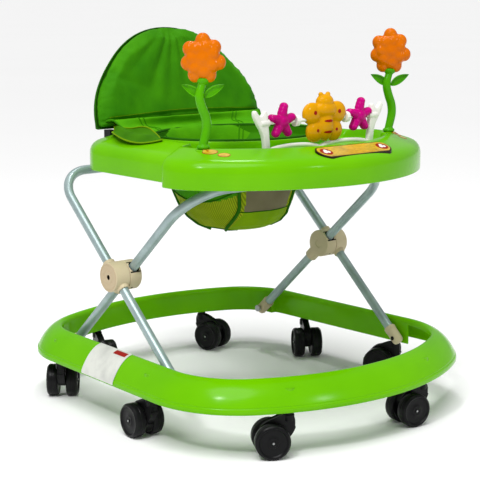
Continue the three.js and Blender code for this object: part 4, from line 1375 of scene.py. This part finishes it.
def print_patch(obj, x, z, a, c):
    """A thin oval print that follows the front of a moulding."""
    rings, around = 4, 20
    loops = []
    for height in (0.35, -0.5):
        for j in (range(1, rings + 1) if height > 0 else (rings,)):
            loop = []
            for k in range(around):
                t = TAU * k / around
                px, pz = x + a * j / rings * math.cos(t), z + c * j / rings * math.sin(t)
                hit, spot, _, _ = obj.ray_cast(Vector((px, TOY_Y - 60, pz)) * MM, Vector((0, 1, 0)))
                depth = spot.y / MM if hit else TOY_Y - 8
                loop.append((px, depth - height, pz))
            loops.append(loop)
    return loft(loops)


# ---- panel, stickers and label ----
def rim_height(x, y):
    """The tray's top surface under a point, by a ray from above."""
    above = Vector((x, y, 700)) * MM
    hit, spot, _, _ = bpy.data.objects["tray_moulding"].ray_cast(above, Vector((0, 0, -1)))
    return spot.z / MM if hit else TRAY_Z + 50


def disc_on_tray(x, y, a, b, turn, lift, around=32, rings=4):
    """A thin oval film that follows the tray's rim."""
    loops = []
    for j in list(range(1, rings + 1)) + [rings]:
        last = len(loops) == rings
        loop = []
        for k in range(around):
            t = TAU * k / around
            px, py = a * j / rings * math.cos(t), b * j / rings * math.sin(t)
            qx = x + px * math.cos(turn) - py * math.sin(turn)
            qy = y + px * math.sin(turn) + py * math.cos(turn)
            z = rim_height(qx, qy)
            loop.append((qx, qy, z - 0.3 if last else z + lift))
        loops.append(loop)
    return loft(loops)


def stickers():
    spots = [(-209, -161, 12.5, 8.5, -0.755), (-200, -184, 10, 7, -0.755)]
    spots += [(-x, y, a, b, -turn) for x, y, a, b, turn in spots]
    edge = build("rim_sticker_edges", [disc_on_tray(x, y, a, b, t, 0.25) for x, y, a, b, t in spots], 60)
    finish_piece(edge, "tray", "red_print", slot="label_film")
    inner = [disc_on_tray(x, y, a - 1.2, b - 1.2, t, 0.45) for x, y, a, b, t in spots]
    face = build("rim_stickers", inner, 60)
    finish_piece(face, "tray", "panel_print")


PANEL_BEND = 900


def panel_bend(across):
    """How far the play panel curves back with the tray's rim."""
    return across * across / PANEL_BEND


def panel_plate(x, y, r):
    """A function giving the height of the panel's flat plate over the rim at any point."""
    crown = rim_height(x, y) - 0.8
    slope = (rim_height(x, y + r) - rim_height(x, y - r)) / (2 * r)
    return lambda px, py: max(rim_height(px, py), crown + slope * (py - y))


def flat_shape(outline, centre, height, lift):
    """A film with the given outline about a centre, laid at a height function plus a lift."""
    loops = []
    for size in (0.05, 0.3, 0.55, 0.8, 0.96, 1):
        loop = []
        for across, along in outline:
            x = centre[0] + across * size
            y = centre[1] + along * size
            loop.append((x, y, height(x, y) + lift))
        loops.append(loop)
    loops.append([(x, y, rim_height(x, y) - 0.4) for x, y, _ in loops[-1]])
    return loft(loops)


def pill(half, r):
    outline = []
    for k in range(64):
        t = TAU * k / 64
        across = math.copysign(half, math.cos(t)) + r * math.cos(t)
        outline.append((across, r * math.sin(t) + panel_bend(across)))
    return outline


def play_panel():
    low, high = mm_box("play_panel")
    x, y = (low.x + high.x) / 2 + 6, (low.y + high.y) / 2 - 3
    half, r = 62, 17
    height = panel_plate(x, y, r)
    border = build("panel_border", flat_shape(pill(half, r), (x, y), height, 1.2), 40)
    finish_piece(border, "tray", "panel_plastic", "play_panel")
    face = build("panel_golden_face", flat_shape(pill(half, r - 2.4), (x, y), height, 1.8), 40)
    finish_piece(face, "tray", "panel_print", "panel_face")
    circle = [(math.cos(TAU * k / 32), math.sin(TAU * k / 32)) for k in range(32)]
    ends = [(x + s * half, y + panel_bend(half)) for s in (-1, 1)]
    rings = [flat_shape([(11 * a, 10 * b) for a, b in circle], end, height, 2.1) for end in ends]
    finish_piece(build("panel_rings", rings, 34), "tray", "red_print", slot="magenta_plastic")
    lobes = ((0, 3.2), (3.2, -1.4), (-3.2, -1.4))
    blooms = [flat_shape([(3.4 * a + dx, 3.4 * b + dy) for a, b in circle], end, height, 2.5)
              for end in ends for dx, dy in lobes]
    finish_piece(build("panel_blooms", blooms, 34), "tray", "white_plastic")


def side_ridge(y):
    """How far out the ring's right ridge line lies between its front and rear corners."""
    k = (y - SIDE_FRONT_Y) / SIDE_RUN
    return RING_FRONT_HALF + (RING_REAR_HALF - RING_FRONT_HALF) * k


def label():
    """The blank sticker, rebuilt with a faint ripple and wrapped over the ring."""
    low, high = mm_box("label_sticker")
    section = smooth_path([(6, 46.9), (13, 45), (20, 41.4), (28, 35), (35.5, 26.4), (41, 18), (44.6, 11.8),
                           (46.9, 6), (47, 2)], 4)
    columns = 22
    rows = []
    for thick in (0.25, 0.75):
        grid = []
        for p in section:
            row = []
            for c in range(columns + 1):
                y = low.y + (high.y - low.y) * c / columns
                ripple = 0.12 * math.sin(c * 1.7) * math.sin(p.y * 0.3)
                row.append(Vector((-(side_ridge(y) + p.x + thick + ripple), y, RING_Z + p.y + thick * 0.7)))
            grid.append(row)
        rows.append(grid)
    loops = []
    for inner, outer in zip(*rows):
        loops.append(inner + list(reversed(outer)))
    film_piece = build("ring_label", loft(loops), 40)
    finish_piece(film_piece, "base", "label_film", "label_sticker")
    bar = []
    for p in section[2:8]:
        for_row = []
        for c in range(13):
            y = low.y + 6 + 34 * c / 12
            for_row.append(Vector((-(side_ridge(y) + p.x + 0.95), y, RING_Z + p.y + 0.7)))
        bar.append(for_row + [q + Vector((0.25, 0, -0.25)) for q in reversed(for_row)])
    stripe = build("ring_label_stripe", loft(bar), 40)
    finish_piece(stripe, "base", "red_print", slot="label_film")


def pins():
    for side, _ in SIDES:
        keep_node(f"rear_pivot_pin_{side}", "pin_steel", 0.6)


# ---- light, floor and camera ----
FLOOR_HALF = 2000
WORLD_STRENGTH = 0.42
SKY_STRENGTH = 1.85
SKY_SPREAD = math.radians(38)
# Each lamp: name, place, what it points at, size and power.
LAMPS = (
    ("key", (-1.9, -0.9, 2.3), (0, -0.05, 0.35), 0.32, 22),
    ("front_fill", (0.6, -2.8, 1.9), (0, 0, 0.3), 0.3, 9),
    ("top", (0.5, 0.6, 2.6), (0, 0, 0.3), 0.5, 12),
)
VIEW_AZIMUTH = math.radians(-40.36)
VIEW_ELEVATION = math.radians(10.34)
VIEW_DISTANCE = 2.37
VIEW_TARGET = Vector((-0.0188, -0.0085, 0.2815))
LENS_MM = 102.06
SENSOR_MM = 36


def studio():
    mesh = bpy.data.meshes.new("floor")
    corners = [(x * FLOOR_HALF, y * FLOOR_HALF, 0) for x, y in ((-1, -1), (1, -1), (1, 1), (-1, 1))]
    mesh.from_pydata(corners, [], [(0, 1, 2, 3)])
    floor = link("floor", mesh)
    paint = Paint("floor_paint", Roughness=0.9, Specular_IOR_Level=0.1)
    paint.link(paint.mix(paint.noise(0.6, 2), linear(250, 250, 250), linear(253, 253, 253)), "Base Color")
    mesh.materials.append(paint.material)
    world = bpy.data.worlds.new("studio")
    world.use_nodes = True
    world.node_tree.nodes["Background"].inputs[0].default_value = (1, 1, 1, 1)
    world.node_tree.nodes["Background"].inputs[1].default_value = WORLD_STRENGTH
    bpy.context.scene.world = world
    sun = bpy.data.lights.new("sky_panel", "SUN")
    sun.energy = SKY_STRENGTH
    sun.angle = SKY_SPREAD
    sky = link("sky_panel", sun)
    sky.rotation_euler = Vector((0.35, 0.25, -1)).to_track_quat("-Z", "Y").to_euler()
    for settings in LAMPS:
        lamp(*settings)
    bpy.context.scene.view_settings.view_transform = "Standard"


def lamp(name, at, target, size, power):
    light = bpy.data.lights.new(name, "AREA")
    light.shape = "DISK"
    light.size = size
    light.energy = power
    obj = link(name, light)
    obj.location = at
    obj.rotation_euler = (Vector(target) - Vector(at)).to_track_quat("-Z", "Y").to_euler()


def camera():
    """The camera at the viewing angle: a long lens, a little above and to the child's right."""
    level = math.cos(VIEW_ELEVATION)
    back = Vector((math.sin(VIEW_AZIMUTH) * level, -math.cos(VIEW_AZIMUTH) * level,
                   math.sin(VIEW_ELEVATION)))
    lens = bpy.data.cameras.new("camera")
    lens.lens = LENS_MM
    lens.sensor_width = SENSOR_MM
    lens.clip_end = 5000
    obj = link("camera", lens)
    obj.location = VIEW_TARGET + back * VIEW_DISTANCE
    obj.rotation_euler = (-back).to_track_quat("-Z", "Y").to_euler()
    bpy.context.scene.camera = obj


base_ring()
pins()
casters()
tube_frame()
tray()
seat_pouch()
backrest()
back_drape()
loose_flap()
flowers()
toy_posts()
star_toys()
butterfly()
play_panel()
stickers()
label()
studio()
camera()
